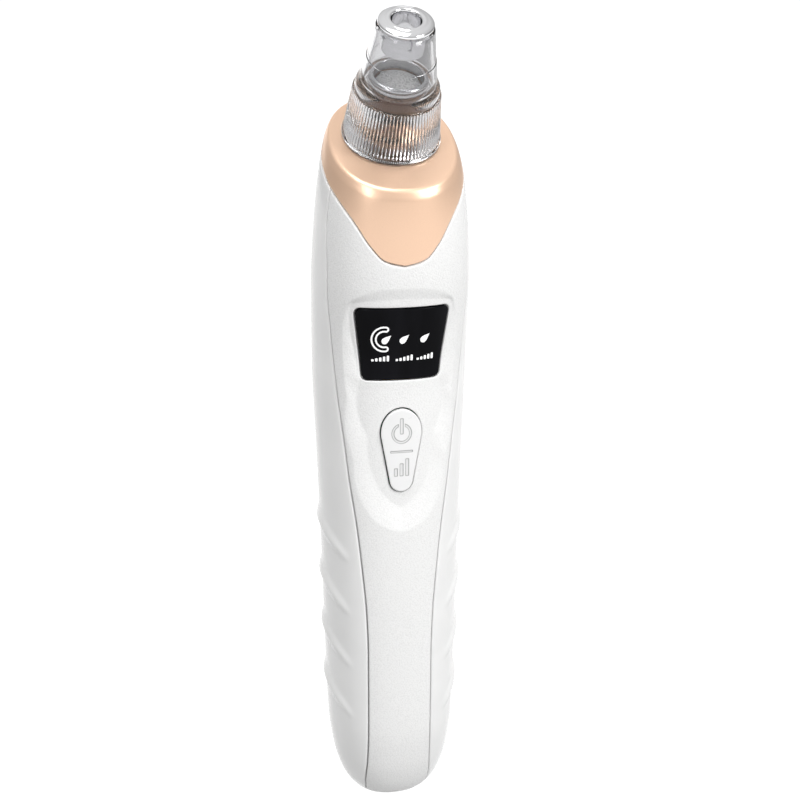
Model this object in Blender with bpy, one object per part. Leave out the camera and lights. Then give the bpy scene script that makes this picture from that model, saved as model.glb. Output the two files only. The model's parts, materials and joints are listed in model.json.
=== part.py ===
"""Handheld blackhead vacuum extractor, a parametric Blender model.

The device stands upright: +Z runs up the handle, the display and button face -Y, and the origin
is the centre of the foot. Above HEAD_START the body bends towards -Y, so the collar's top face and
the clear suction tip lean forward by HEAD_TILT. Sizes are in millimetres until a mesh is made.
"""

import math

import bmesh
import bpy
import numpy as np
from mathutils import Matrix, Vector

MM = 0.001

# ---------------------------------------------------------------- overall body
BODY_LENGTH = 151.5         # foot to the centre of the collar's top face
BODY_WIDTH = 33.4           # widest place, beside the display
BODY_DEPTH = 32.0           # deepest place, at the collar
HEAD_START = BODY_LENGTH - 51.5
HEAD_TILT = math.radians(33.7)
HEAD_SHIFT = -4.7           # how far the collar's face centre moves forward
SECTION_POWER = 2.2         # 2 is an ellipse, more is squarer
WALL = 1.8
FOOT_THICKNESS = 1.6
GAP = 0.3                   # parting gap between neighbouring pieces

# Body outline: height, half width, half depth, as drawn for 151.5 x 33.4 x 32.
BODY_STATIONS = [
    (0.0, 5.6, 5.0), (0.8, 7.4, 6.7), (2.6, 9.5, 8.7), (6.0, 11.6, 10.6), (12.0, 13.35, 12.2),
    (21.0, 14.4, 13.2), (43.0, 15.0, 13.6), (63.0, 15.4, 13.9), (84.0, 16.0, 14.4),
    (105.0, 16.65, 15.0), (122.0, 16.7, 15.4), (136.0, 15.95, 15.8), (145.0, 14.85, 16.0),
    (149.5, 13.85, 15.9), (151.5, 12.95, 15.3),
]
# Seam of the front panel: height, half width, drawn on the same body.
SEAM_STATIONS = [
    (1.5, 6.8), (7.0, 7.4), (13.0, 7.2), (20.0, 7.1), (40.0, 7.1), (50.0, 7.4), (60.0, 8.2),
    (70.7, 9.3), (81.0, 10.7), (90.0, 11.7), (101.0, 13.0), (115.0, 14.1), (124.0, 14.65),
    (136.0, 14.65), (145.7, 13.8), (151.5, 12.2),
]
PANEL_BOTTOM = FOOT_THICKNESS + 0.4
# Lower edge of the collar: angle from the front, drop below the top face.
COLLAR_DROPS = [(0, 16.7), (13, 15.5), (24, 12.4), (37, 8.5), (48, 6.6), (63, 5.3), (90, 4.5), (180, 4.5)]
COLLAR_PLATE = 2.0
COLLAR_GAP = 0.5            # measured down the body, so the slanting joint stays open

LOFT_COLUMNS = 36
LOFT_ROWS = [0.0, 0.8, 2.6, 6.0, 12.0, 24.0, 44.0, 66.0, 88.0, 102.0, 114.0, 125.0, 134.0,
             142.0, 148.0, 151.5]

# ---------------------------------------------------------------- grip ridges
RIDGE_COUNT = 4
RIDGE_FIRST = 30.4          # height of the lowest ridge at the side of the body
RIDGE_LAST = BODY_LENGTH - 82.5
RIDGE_WIDTH = 3.0
RIDGE_HEIGHT = 0.9
RIDGE_FALL = 6.0            # how far a ridge drops from the side to its front end
RIDGE_ANGLES = (46.0, 134.0)

# ---------------------------------------------------------------- thumb recess, display, button
RECESS_DEPTH = 0.5
DISPLAY_TOP = BODY_LENGTH - 32.2
DISPLAY_HEIGHT = 15.4
DISPLAY_TOP_WIDTH = 20.0
DISPLAY_BOTTOM_WIDTH = 17.5
DISPLAY_CORNER = 1.1
LENS_THICKNESS = 1.1
BUTTON_GAP_BELOW_DISPLAY = 6.1
BUTTON_TOP = DISPLAY_TOP - DISPLAY_HEIGHT - BUTTON_GAP_BELOW_DISPLAY
BUTTON_LENGTH = 18.9
BUTTON_WIDTH = 9.1
BUTTON_END_RADIUS = 2.6
BUTTON_TOP_RISE = 5.2       # height of the button's upper round end
BUTTON_INSET = 0.2
BUTTON_THICKNESS = 1.2
BUTTON_PIVOT_DROP = 9.9     # pivot below the button's top
SWITCH_OFFSET = 4.8         # power and mode switches above and below the pivot
PIN_RADIUS = 0.6
PIN_LENGTH = 12.6
PIN_DEPTH = 2.9             # pin axis behind the button's outer face
PUSH_POST_RADIUS = 1.0
RIB_HALF = 1.3              # half height of the button's rib, and its reach behind the pin
LUG_HALF = 1.5              # the same for the panel's two lugs
LUG_THICKNESS = 1.5

# ---------------------------------------------------------------- electronics
BOARD_THICKNESS = 1.2
BOARD_WIDTH = 15.6
BOARD_SETBACK = 6.1         # board front face behind the button's outer face
SWITCH_SIZE = 4.4
SWITCH_BODY = 1.5
PLUNGER_RADIUS = 1.0
PLUNGER_PROUD = 0.7
WELL_FLOOR = 0.4            # plastic left behind the plunger's well
PLUNGER_TRAVEL = 0.6
MASK_DEPTH = 1.7
DISPLAY_BOARD_THICKNESS = 1.0
LED_SIZE = 2.0
LED_DEPTH = 0.8
LED_PITCH = 6.0
FRAME_PLATE = 1.2
BATTERY_RADIUS = 7.0
MOTOR_WIDTH = 19.4
MOTOR_DEPTH = 14.4
MOTOR_LENGTH = 25.0
MOTOR_CAP_LENGTH = 3.0
SHAFT_RADIUS = 0.9
SHAFT_SUNK = 6.0            # how deep the shaft stands in the motor can
PUMP_RADIUS = 8.4
PUMP_HOUSING_LENGTH = 11.0
PUMP_COVER_LENGTH = 4.0
PUMP_WALL = 1.4
PUMP_FLOOR = 1.0
VALVE_PLATE = 1.2
DIAPHRAGM = 0.8
ECCENTRIC_RADIUS = 4.2
ECCENTRIC_LENGTH = 3.0
CRANK_RADIUS = 0.8
CRANK_OFFSET = 2.2          # from the motor's axis
CRANK_LENGTH = 2.4
HOSE_RADIUS = 2.3
HOSE_BORE = 1.5
OUTLET_HOSE_RADIUS = 1.9
BARB_RADIUS = 1.1
BARB_BORE = 0.6
BARB_LENGTH = 6.0
BARB_SUNK = 1.0             # how deep a barb stands in the pump's cover
SCREW_RADIUS = 0.9
BOARD_SCREW_RADIUS = 0.7
SCREW_HEAD_RADIUS = 1.8
SCREW_HEAD = 1.2
SCREW_LENGTH = 7.0          # under the head, without the point
POST_RADIUS = 2.3
PORT_WIDTH = 7.8
PORT_HEIGHT = 2.6
PORT_DEPTH = 5.6
PORT_Z = 8.0                # charging socket in the back, near the foot
PORT_SHELL = 0.4            # sheet thickness of the socket
VENT_COUNT = 3
VENT_WIDTH = 7.0
VENT_HEIGHT = 1.2
VENT_PITCH = 3.0

# ---------------------------------------------------------------- suction end
SEAT_SHIFT = 1.81           # tip axis behind the centre of the collar's face
NOZZLE_RADIUS = 5.8
NOZZLE_BORE = 4.9
SEAT_HOLE_RADIUS = NOZZLE_RADIUS + 0.6   # wide enough for the O-rings to pass
SPIGOT_LENGTH = 9.0
NOZZLE_TOP = 12.7
RIM_RING_HEIGHT = 2.1
O_RING_SECTION = 1.1
O_RING_LEVELS = (3.4, 7.8)
SPONGE_THICKNESS = 2.8
SKIRT_BASE_RADIUS = 10.2
SKIRT_TOP_RADIUS = 8.75
SKIRT_HEIGHT = 11.4
TIP_BORE = NOZZLE_RADIUS + 0.85
CONE_BASE_RADIUS = 7.55
CONE_START = 14.0
CONE_TOP_RADIUS = 5.7
CONE_TOP = 25.7
CONE_WALL = 1.1
SLEEVE_RADIUS = 4.05
SLEEVE_BOTTOM = 20.6
LIP_RADIUS = 5.45
LIP_TOP = 27.3
MOUTH_RADIUS = 2.9
ROUND_STEPS = 32


# ================================================================ maths helpers
def monotone_curve(points, t):
    """Smooth curve through (position, value) points that never overshoots (Fritsch-Carlson)."""
    xs = np.array([p[0] for p in points], float)
    ys = np.array([p[1] for p in points], float)
    step = np.diff(xs)
    slope = np.diff(ys) / step
    tangent = np.zeros_like(ys)
    tangent[0], tangent[-1] = slope[0], slope[-1]
    for i in range(1, len(xs) - 1):
        if slope[i - 1] * slope[i] > 0:
            w1, w2 = 2 * step[i] + step[i - 1], step[i] + 2 * step[i - 1]
            tangent[i] = (w1 + w2) / (w1 / slope[i - 1] + w2 / slope[i])
    t = np.clip(t, xs[0], xs[-1])
    k = int(np.clip(np.searchsorted(xs, t) - 1, 0, len(xs) - 2))
    s = (t - xs[k]) / step[k]
    return float(
        (1 + 2 * s) * (1 - s) ** 2 * ys[k] + s * (1 - s) ** 2 * step[k] * tangent[k]
        + s * s * (3 - 2 * s) * ys[k + 1] + s * s * (s - 1) * step[k] * tangent[k + 1]
    )


DRAWN_LENGTH = BODY_STATIONS[-1][0]
DRAWN_HALF_WIDTH = max(s[1] for s in BODY_STATIONS)
DRAWN_HALF_DEPTH = max(s[2] for s in BODY_STATIONS)
LENGTH_RATIO = BODY_LENGTH / DRAWN_LENGTH
WIDTH_RATIO = BODY_WIDTH / 2 / DRAWN_HALF_WIDTH
DEPTH_RATIO = BODY_DEPTH / 2 / DRAWN_HALF_DEPTH


def half_width(h):
    """Half width of the body's section at station h."""
    return WIDTH_RATIO * monotone_curve([(s[0], s[1]) for s in BODY_STATIONS], h / LENGTH_RATIO)


def half_depth(h):
    """Half depth of the body's section at station h."""
    return DEPTH_RATIO * monotone_curve([(s[0], s[2]) for s in BODY_STATIONS], h / LENGTH_RATIO)


def head_blend(h):
    """0 below the head, rising smoothly to 1 at the collar's top face."""
    r = min(max((h - HEAD_START) / (BODY_LENGTH - HEAD_START), 0.0), 1.0)
    return r * r * (3 - 2 * r)


def signed_power(value, power):
    """Keep the sign of value while its size is raised to power."""
    return math.copysign(abs(value) ** power, value)


def skin(h, angle, inset=0.0, scale=1.0):
    """Point on the body's surface at station h; angle 0 faces -Y and 90 degrees faces +X."""
    blend = head_blend(h)
    tilt = HEAD_TILT * blend
    u = math.radians(angle)
    across = (half_width(h) - inset) * scale * signed_power(math.sin(u), 2 / SECTION_POWER)
    ahead = (half_depth(h) - inset) * scale * signed_power(math.cos(u), 2 / SECTION_POWER)
    return Vector((
        across,
        HEAD_SHIFT * blend - ahead * math.cos(tilt),
        h - ahead * math.sin(tilt),
    ))


def wall_y(z, x, inset, back):
    """Y of the front or back surface at height z and offset x, found by bisection."""
    low, high = 0.0, BODY_LENGTH
    for _ in range(40):
        h = (low + high) / 2
        share = min(abs(x) / (half_width(h) - inset), 0.999) ** (SECTION_POWER / 2)
        angle = math.degrees(math.asin(share))
        point = skin(h, 180 - angle if back else angle, inset)
        low, high = (h, high) if point.z < z else (low, h)
    return point.y


def front_y(z, x=0.0, inset=0.0):
    """Y of the front surface at height z and offset x."""
    return wall_y(z, x, inset, back=False)


def back_y(z, x=0.0, inset=0.0):
    """Y of the back surface at height z and offset x."""
    return wall_y(z, x, inset, back=True)


def hull_outline(rounds, grow=0.0, steps=24):
    """Outline round a set of ellipses (x, z, radius_x, radius_z), each grown by grow."""
    cloud = []
    for x, z, rx, rz in rounds:
        for k in range(steps):
            a = 2 * math.pi * k / steps
            cloud.append((x + (rx + grow) * math.cos(a), z + (rz + grow) * math.sin(a)))
    cloud = sorted(set((round(x, 6), round(z, 6)) for x, z in cloud))

    def half(points):
        chain = []
        for p in points:
            while len(chain) > 1 and (
                (chain[-1][0] - chain[-2][0]) * (p[1] - chain[-2][1])
                - (chain[-1][1] - chain[-2][1]) * (p[0] - chain[-2][0])
            ) <= 1e-4:
                chain.pop()
            chain.append(p)
        return chain[:-1]

    return half(cloud) + half(cloud[::-1])


# ================================================================ mesh helpers
def clear_scene():
    """Remove every object the new file started with."""
    for obj in list(bpy.data.objects):
        bpy.data.objects.remove(obj, do_unlink=True)


def finish(name, color, roughness, metallic=0.0, alpha=1.0):
    """Principled material of one sub-part."""
    material = bpy.data.materials.new(name + "_finish")
    material.use_nodes = True
    shader = material.node_tree.nodes["Principled BSDF"]
    shader.inputs["Base Color"].default_value = (*color, 1.0)
    shader.inputs["Roughness"].default_value = roughness
    shader.inputs["Metallic"].default_value = metallic
    shader.inputs["Alpha"].default_value = alpha
    return material


def add_object(name, points, faces, look=None, smooth=False, angle=40.0):
    """Make a closed mesh object from millimetre points, with its faces pointing out."""
    mesh = bpy.data.meshes.new(name)
    mesh.from_pydata([tuple(Vector(p) * MM) for p in points], [], faces)
    work = bmesh.new()
    work.from_mesh(mesh)
    bmesh.ops.triangulate(work, faces=work.faces)
    bmesh.ops.recalc_face_normals(work, faces=work.faces)
    work.to_mesh(mesh)
    work.free()
    obj = bpy.data.objects.new(name, mesh)
    bpy.context.collection.objects.link(obj)
    if look:
        mesh.materials.append(finish(name, *look))
    if smooth:
        mesh.shade_smooth()
        mesh.set_sharp_from_angle(angle=math.radians(angle))
    return obj


def loft(name, rings, look=None, smooth=False):
    """Closed solid through rings of equal point counts, with flat ends."""
    count = len(rings[0])
    points = [p for ring in rings for p in ring]
    faces = [
        (r * count + c, r * count + (c + 1) % count,
         (r + 1) * count + (c + 1) % count, (r + 1) * count + c)
        for r in range(len(rings) - 1) for c in range(count)
    ]
    faces.append(tuple(range(count)))
    faces.append(tuple((len(rings) - 1) * count + c for c in range(count)))
    return add_object(name, points, faces, look, smooth)


def turned(name, profile, look=None, steps=ROUND_STEPS, smooth=True):
    """Solid turned about Z from a closed (radius, height) outline; radius 0 is a pole."""
    points, rows, faces = [], [], []
    for radius, height in profile:
        if radius < 1e-6:
            rows.append([len(points)] * steps)
            points.append((0.0, 0.0, height))
        else:
            rows.append(list(range(len(points), len(points) + steps)))
            points += [
                (radius * math.cos(2 * math.pi * (k + 0.5) / steps),
                 radius * math.sin(2 * math.pi * (k + 0.5) / steps), height)
                for k in range(steps)
            ]
    on_axis = profile[0][0] < 1e-6 and profile[-1][0] < 1e-6
    last = len(rows) - 1 if on_axis else len(rows)
    for r in range(last):
        here, there = rows[r], rows[(r + 1) % len(rows)]
        for k in range(steps):
            corner = [here[k], here[(k + 1) % steps], there[(k + 1) % steps], there[k]]
            face = list(dict.fromkeys(corner))
            if len(face) > 2:
                faces.append(tuple(face))
    return add_object(name, points, faces, look, smooth)


def rod(name, radius, length, look=None, steps=16):
    """Plain cylinder standing on the XY plane."""
    return turned(name, [(0, 0), (radius, 0), (radius, length), (0, length)], look, steps)


def block(name, low, high, look=None):
    """Box between two corners."""
    points = [(x, y, z) for x in (low[0], high[0]) for y in (low[1], high[1])
              for z in (low[2], high[2])]
    faces = [(0, 1, 3, 2), (4, 6, 7, 5), (0, 4, 5, 1), (2, 3, 7, 6), (0, 2, 6, 4), (1, 5, 7, 3)]
    return add_object(name, points, faces, look)


def prism(name, outline, y_low, y_high, look=None):
    """Outline in the XZ plane pushed along Y."""
    return loft(name, [[(x, y, z) for x, z in outline] for y in (y_low, y_high)], look)


def place(obj, location=(0, 0, 0), turn_x=0.0, turn_y=0.0):
    """Set an object's place in millimetres and its turn in radians."""
    obj.location = Vector(location) * MM
    obj.rotation_euler = (turn_x, turn_y, 0.0)
    return obj


def set_origin(obj, point):
    """Move an unplaced object's origin to a point without moving its surface."""
    obj.data.transform(Matrix.Translation(-Vector(point) * MM))
    obj.location = Vector(point) * MM
    return obj


def combine(target, tool, operation):
    """Cut or join one solid with another, then drop the tool."""
    bpy.context.view_layer.update()
    step = target.modifiers.new(operation.lower(), "BOOLEAN")
    step.object = tool
    step.operation = operation
    step.solver = "EXACT"
    evaluated = target.evaluated_get(bpy.context.evaluated_depsgraph_get())
    result = bpy.data.meshes.new_from_object(evaluated)
    target.modifiers.remove(step)
    target.data = result
    bpy.data.objects.remove(tool, do_unlink=True)
    return target


def cut(target, tool):
    """Take the tool's volume out of the target."""
    return combine(target, tool, "DIFFERENCE")


def join(target, tool):
    """Add the tool's volume to the target."""
    return combine(target, tool, "UNION")


def keep_inside(target, tool):
    """Keep only the part of the target that lies in the tool."""
    return combine(target, tool, "INTERSECT")


def y_rod(name, x, z, y_start, y_end, radius, look=None, steps=16):
    """Cylinder along Y between two depths."""
    obj = rod(name, radius, y_end - y_start, look, steps)
    return place(obj, (x, y_start, z), turn_x=-math.pi / 2)


# ================================================================ body surfaces
def body_loft(name, start, end, inset=0.0):
    """Solid inside the body's surface between two stations."""
    rows = [h * LENGTH_RATIO for h in LOFT_ROWS]
    levels = [start] + [h for h in rows if start + 0.2 < h < end - 0.2] + [end]
    angles = [360.0 * k / LOFT_COLUMNS for k in range(LOFT_COLUMNS)]
    return loft(name, [[skin(h, a, inset) for a in angles] for h in levels])


def front_slab(name, z_low, z_high, outer, inner, look=None):
    """Curved plate between two insets of the front surface, wider than any window in it."""
    rows, columns, spread = 8, 14, 68.0
    levels = [z_low + (z_high - z_low) * r / rows for r in range(rows + 1)]
    angles = [-spread + 2 * spread * c / columns for c in range(columns + 1)]
    rings = []
    for h in levels:
        ring = [skin(h, a, outer) for a in angles]
        ring += [skin(h, a, inner) for a in reversed(angles)]
        rings.append(ring)
    return loft(name, rings, look)


def collar_zone(name, lowered=0.0):
    """Region above the collar's lower edge, used to part the collar from the body."""
    angles = [360.0 * k / LOFT_COLUMNS for k in range(LOFT_COLUMNS)]

    def edge(angle):
        away = angle if angle <= 180 else 360 - angle
        return BODY_LENGTH - monotone_curve(COLLAR_DROPS, away) - lowered

    return loft(name, [
        [skin(edge(a), a, scale=0.35) for a in angles],
        [skin(edge(a), a, scale=1.35) for a in angles],
        [skin(BODY_LENGTH, a, scale=1.5) + TIP_AXIS * 4 for a in angles],
    ])


def seam_angle(h, grow=0.0):
    """Angle of the front panel's seam at station h, moved outwards along the skin by grow."""
    across = WIDTH_RATIO * monotone_curve(SEAM_STATIONS, h / LENGTH_RATIO)
    angle = math.degrees(math.asin((across / half_width(h)) ** (SECTION_POWER / 2)))
    point = skin(h, angle)
    reach = math.hypot(point.x, (point.y - HEAD_SHIFT * head_blend(h)))
    return angle + math.degrees(grow / reach)


def panel_zone(name, grow=0.0):
    """Region in front of the seams, used to part the front panel from the rear shell."""
    top = BODY_LENGTH - 2.5
    levels = [PANEL_BOTTOM - grow]
    levels += [h * LENGTH_RATIO for h, _ in SEAM_STATIONS
               if PANEL_BOTTOM + 1 < h * LENGTH_RATIO < top - 1]
    levels.append(top)
    rings = []
    for h in levels:
        edge = seam_angle(h, grow)
        ring = [skin(h, edge * k / 3, scale=1.5) for k in range(-3, 4)]
        ring += [skin(h, edge, scale=0.4), skin(h, 0, scale=0.3), skin(h, -edge, scale=0.4)]
        rings.append(ring)
    return loft(name, rings)


def display_outline(grow=0.0):
    """Rounded trapezoid of the display window."""
    r = DISPLAY_CORNER
    bottom = DISPLAY_TOP - DISPLAY_HEIGHT
    corners = [(DISPLAY_TOP_WIDTH / 2 - r, DISPLAY_TOP - r), (DISPLAY_BOTTOM_WIDTH / 2 - r, bottom + r)]
    return hull_outline([(side * x, z, r, r) for side in (-1, 1) for x, z in corners], grow, 16)


def button_outline(grow=0.0):
    """Teardrop of the rocker button: a wide round top and a small round lower end."""
    rounds = [
        (0, BUTTON_TOP - BUTTON_TOP_RISE, BUTTON_WIDTH / 2, BUTTON_TOP_RISE),
        (0, BUTTON_TOP - BUTTON_LENGTH + BUTTON_END_RADIUS, BUTTON_END_RADIUS, BUTTON_END_RADIUS),
    ]
    return hull_outline(rounds, grow, 32)


def recess_outline():
    """Shallow thumb recess round the display and the button."""
    rounds = [(side * 7.4, DISPLAY_TOP - 0.2, 3.2, 3.2) for side in (-1, 1)]
    rounds += [(side * 6.4, DISPLAY_TOP - DISPLAY_HEIGHT, 3.4, 3.4) for side in (-1, 1)]
    rounds.append((0, BUTTON_TOP - BUTTON_LENGTH + 1.6, 5.2, 7.0))
    return hull_outline(rounds)


# ================================================================ shared places
TIP_AXIS = Vector((0, -math.sin(HEAD_TILT), math.cos(HEAD_TILT)))
FACE_FORWARD = Vector((0, -math.cos(HEAD_TILT), -math.sin(HEAD_TILT)))
FACE_CENTRE = Vector((0, HEAD_SHIFT, BODY_LENGTH))
SEAT = FACE_CENTRE - FACE_FORWARD * SEAT_SHIFT

PIVOT_Z = BUTTON_TOP - BUTTON_PIVOT_DROP
BUTTON_FACE_Y = front_y(PIVOT_Z, inset=BUTTON_INSET)
PIVOT_Y = BUTTON_FACE_Y + PIN_DEPTH
BOARD_FRONT = BUTTON_FACE_Y + BOARD_SETBACK
BOARD_BACK = BOARD_FRONT + BOARD_THICKNESS
PLATE_FRONT = BOARD_BACK + GAP
PLATE_BACK = PLATE_FRONT + FRAME_PLATE
CELL_Y = PLATE_BACK + GAP + BATTERY_RADIUS
PUMP_Y = PLATE_BACK + GAP + PUMP_RADIUS
INLET_Y = PUMP_Y - 4.0
OUTLET_Y = PUMP_Y + 3.5

PORT_MOUTH = back_y(PORT_Z, PORT_WIDTH / 2) - 0.3
PORT_BOARD_Z = PORT_Z + PORT_HEIGHT / 2 + GAP
PORT_BOARD_THICKNESS = 1.0
LOW_SCREW_Z = PORT_BOARD_Z + PORT_BOARD_THICKNESS + GAP + POST_RADIUS + 0.3
CELL_BOTTOM = LOW_SCREW_Z + POST_RADIUS + 1.6
PUMP_TOP = BODY_LENGTH - 34.5
COVER_BOTTOM = PUMP_TOP - PUMP_COVER_LENGTH
VALVE_BOTTOM = COVER_BOTTOM - GAP - VALVE_PLATE
DIAPHRAGM_BOTTOM = VALVE_BOTTOM - GAP - DIAPHRAGM
HOUSING_BOTTOM = DIAPHRAGM_BOTTOM - GAP - PUMP_HOUSING_LENGTH
MOTOR_TOP = HOUSING_BOTTOM - GAP
MOTOR_BOTTOM = MOTOR_TOP - MOTOR_LENGTH
MID_SCREW_Z = MOTOR_BOTTOM - 1.6 - POST_RADIUS
CELL_TOP = MID_SCREW_Z - POST_RADIUS - 1.6
HIGH_SCREW_Z = PUMP_TOP + 4.0
HIGH_SCREW_X = 8.2
BOARD_BOTTOM = CELL_BOTTOM + 6.0
BOARD_TOP = BUTTON_TOP + 3.0
PLATE_BOTTOM = CELL_BOTTOM - 1.3
PLATE_TOP = HIGH_SCREW_Z + 3.2
SCREW_SPOTS = {
    "low": (0.0, LOW_SCREW_Z), "middle": (0.0, MID_SCREW_Z),
    "high_left": (-HIGH_SCREW_X, HIGH_SCREW_Z), "high_right": (HIGH_SCREW_X, HIGH_SCREW_Z),
}

BOARD_SCREW_SPOTS = {"lower": (-5.6, BOARD_BOTTOM + 2.6), "upper": (5.6, BOARD_TOP - 2.2)}

WHITE_GLOSS = ((0.86, 0.86, 0.85), 0.22)
WHITE_MATTE = ((0.84, 0.84, 0.83), 0.5)
ROSE_GOLD = ((0.80, 0.60, 0.46), 0.28, 0.9)
CLEAR = ((0.92, 0.93, 0.94), 0.05, 0.0, 0.35)
STEEL = ((0.62, 0.62, 0.64), 0.25, 1.0)
BLACK_PLASTIC = ((0.03, 0.03, 0.03), 0.4)
BLACK_RUBBER = ((0.02, 0.02, 0.02), 0.7)
BOARD_GREEN = ((0.02, 0.16, 0.08), 0.45)


# ================================================================ outer shells
def build_ridge(side, station):
    """One diagonal grip ridge that fades into the side wall at both ends."""
    steps, sunk = 9, 0.17
    rings = []
    for k in range(steps + 1):
        t = k / steps
        angle = RIDGE_ANGLES[0] + (RIDGE_ANGLES[1] - RIDGE_ANGLES[0]) * t
        rise = math.sin(math.pi * t) ** 0.6
        height = (RIDGE_HEIGHT + sunk) * rise - sunk
        half = RIDGE_WIDTH / 2 * (0.35 + 0.65 * rise)
        middle = station - RIDGE_FALL * max(0.0, 1 - 2 * t) ** 1.3
        rings.append([
            skin(middle - half, side * angle, 0.23),
            skin(middle - half * 0.3, side * angle, -height),
            skin(middle + half * 0.3, side * angle, -height),
            skin(middle + half, side * angle, 0.23),
            skin(middle, side * angle, 0.9),
        ])
    return loft("ridge", rings)


def build_posts():
    """Screw posts that stand forward from the back wall, one mesh of separate posts."""
    posts = []
    for x, z in SCREW_SPOTS.values():
        start = PLATE_BACK + GAP
        end = back_y(z, abs(x) + POST_RADIUS, WALL / 2)
        posts.append(y_rod("post", x, z, start, end, POST_RADIUS))
    return posts


def build_outer_shells():
    """Rear shell, front panel and collar, parted from one wall."""
    skins = [body_loft("skin", 0.0, BODY_LENGTH) for _ in range(3)]
    for solid in skins:
        cut(solid, body_loft("cavity", FOOT_THICKNESS, BODY_LENGTH - COLLAR_PLATE, WALL))
    shell, panel, collar = skins
    build_rear_shell(shell)
    build_front_panel(panel)
    build_collar(collar)


def dress(obj, name, look, smooth=True, angle=35.0):
    """Name a finished solid and give it its material and shading."""
    obj.name = name
    obj.data.name = name
    obj.data.materials.clear()
    obj.data.materials.append(finish(name, *look))
    if smooth:
        obj.data.shade_smooth()
        obj.data.set_sharp_from_angle(angle=math.radians(angle))
    return obj


def build_rear_shell(shell):
    """Sides, back and foot, with grip ridges, screw posts, vent slots and the charging slot."""
    cut(shell, panel_zone("panel_cut", GAP))
    cut(shell, collar_zone("collar_cut", COLLAR_GAP))
    pitch = (RIDGE_LAST - RIDGE_FIRST) / (RIDGE_COUNT - 1)
    for side in (-1, 1):
        for k in range(RIDGE_COUNT):
            join(shell, build_ridge(side, RIDGE_FIRST + pitch * k))
    for post in build_posts():
        join(shell, post)
    for x, z in SCREW_SPOTS.values():
        cut(shell, y_rod("pilot", x, z, PLATE_BACK - 1, PLATE_BACK + GAP + SCREW_LENGTH,
                         SCREW_RADIUS + GAP, steps=12))
    for k in range(VENT_COUNT):
        z = HOUSING_BOTTOM + 2.0 + VENT_PITCH * k
        y = back_y(z)
        half = VENT_WIDTH / 2
        cut(shell, block("vent", (-half, y - 2 * WALL, z), (half, y + 2, z + VENT_HEIGHT)))
    half_w, half_h = PORT_WIDTH / 2 + GAP, PORT_HEIGHT / 2 + GAP
    cut(shell, block("slot", (-half_w, PORT_MOUTH - 2 * WALL, PORT_Z - half_h),
                     (half_w, BODY_DEPTH, PORT_Z + half_h)))
    dress(shell, "rear_shell", WHITE_GLOSS)


def build_front_panel(panel):
    """Textured front cover with its thumb recess, display window and button opening."""
    keep_inside(panel, panel_zone("panel_keep"))
    cut(panel, collar_zone("collar_cut", COLLAR_GAP))
    recess = front_slab("recess", BUTTON_TOP - BUTTON_LENGTH - 9, DISPLAY_TOP + 9, -2.0, RECESS_DEPTH)
    keep_inside(recess, prism("recess_shape", recess_outline(), -BODY_DEPTH, -4.0))
    cut(panel, recess)
    cut(panel, prism("window", display_outline(GAP), -BODY_DEPTH, -4.0))
    cut(panel, prism("button_hole", button_outline(GAP), -BODY_DEPTH, -4.0))
    lug_inner = BUTTON_WIDTH / 2 + 0.55
    for side in (-1, 1):
        ends = sorted((side * lug_inner, side * (lug_inner + LUG_THICKNESS)))
        lug_front = front_y(PIVOT_Z, lug_inner + 0.8, WALL) - 0.6
        join(panel, block("lug", (ends[0], lug_front, PIVOT_Z - LUG_HALF),
                          (ends[1], PIVOT_Y + LUG_HALF, PIVOT_Z + LUG_HALF)))
    bearing = rod("bearing", PIN_RADIUS + GAP, PIN_LENGTH + 6, steps=14)
    cut(panel, place(bearing, (-PIN_LENGTH / 2 - 3, PIVOT_Y, PIVOT_Z), turn_y=math.pi / 2))
    dress(panel, "front_panel", WHITE_MATTE)


def build_collar(collar):
    """Rose gold collar with the flat face that the tip stands on."""
    keep_inside(collar, collar_zone("collar_keep"))
    hole = rod("nozzle_hole", SEAT_HOLE_RADIUS, 12, steps=ROUND_STEPS)
    cut(collar, place(hole, SEAT - TIP_AXIS * 6, turn_x=HEAD_TILT))
    dress(collar, "collar", ROSE_GOLD)


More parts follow.
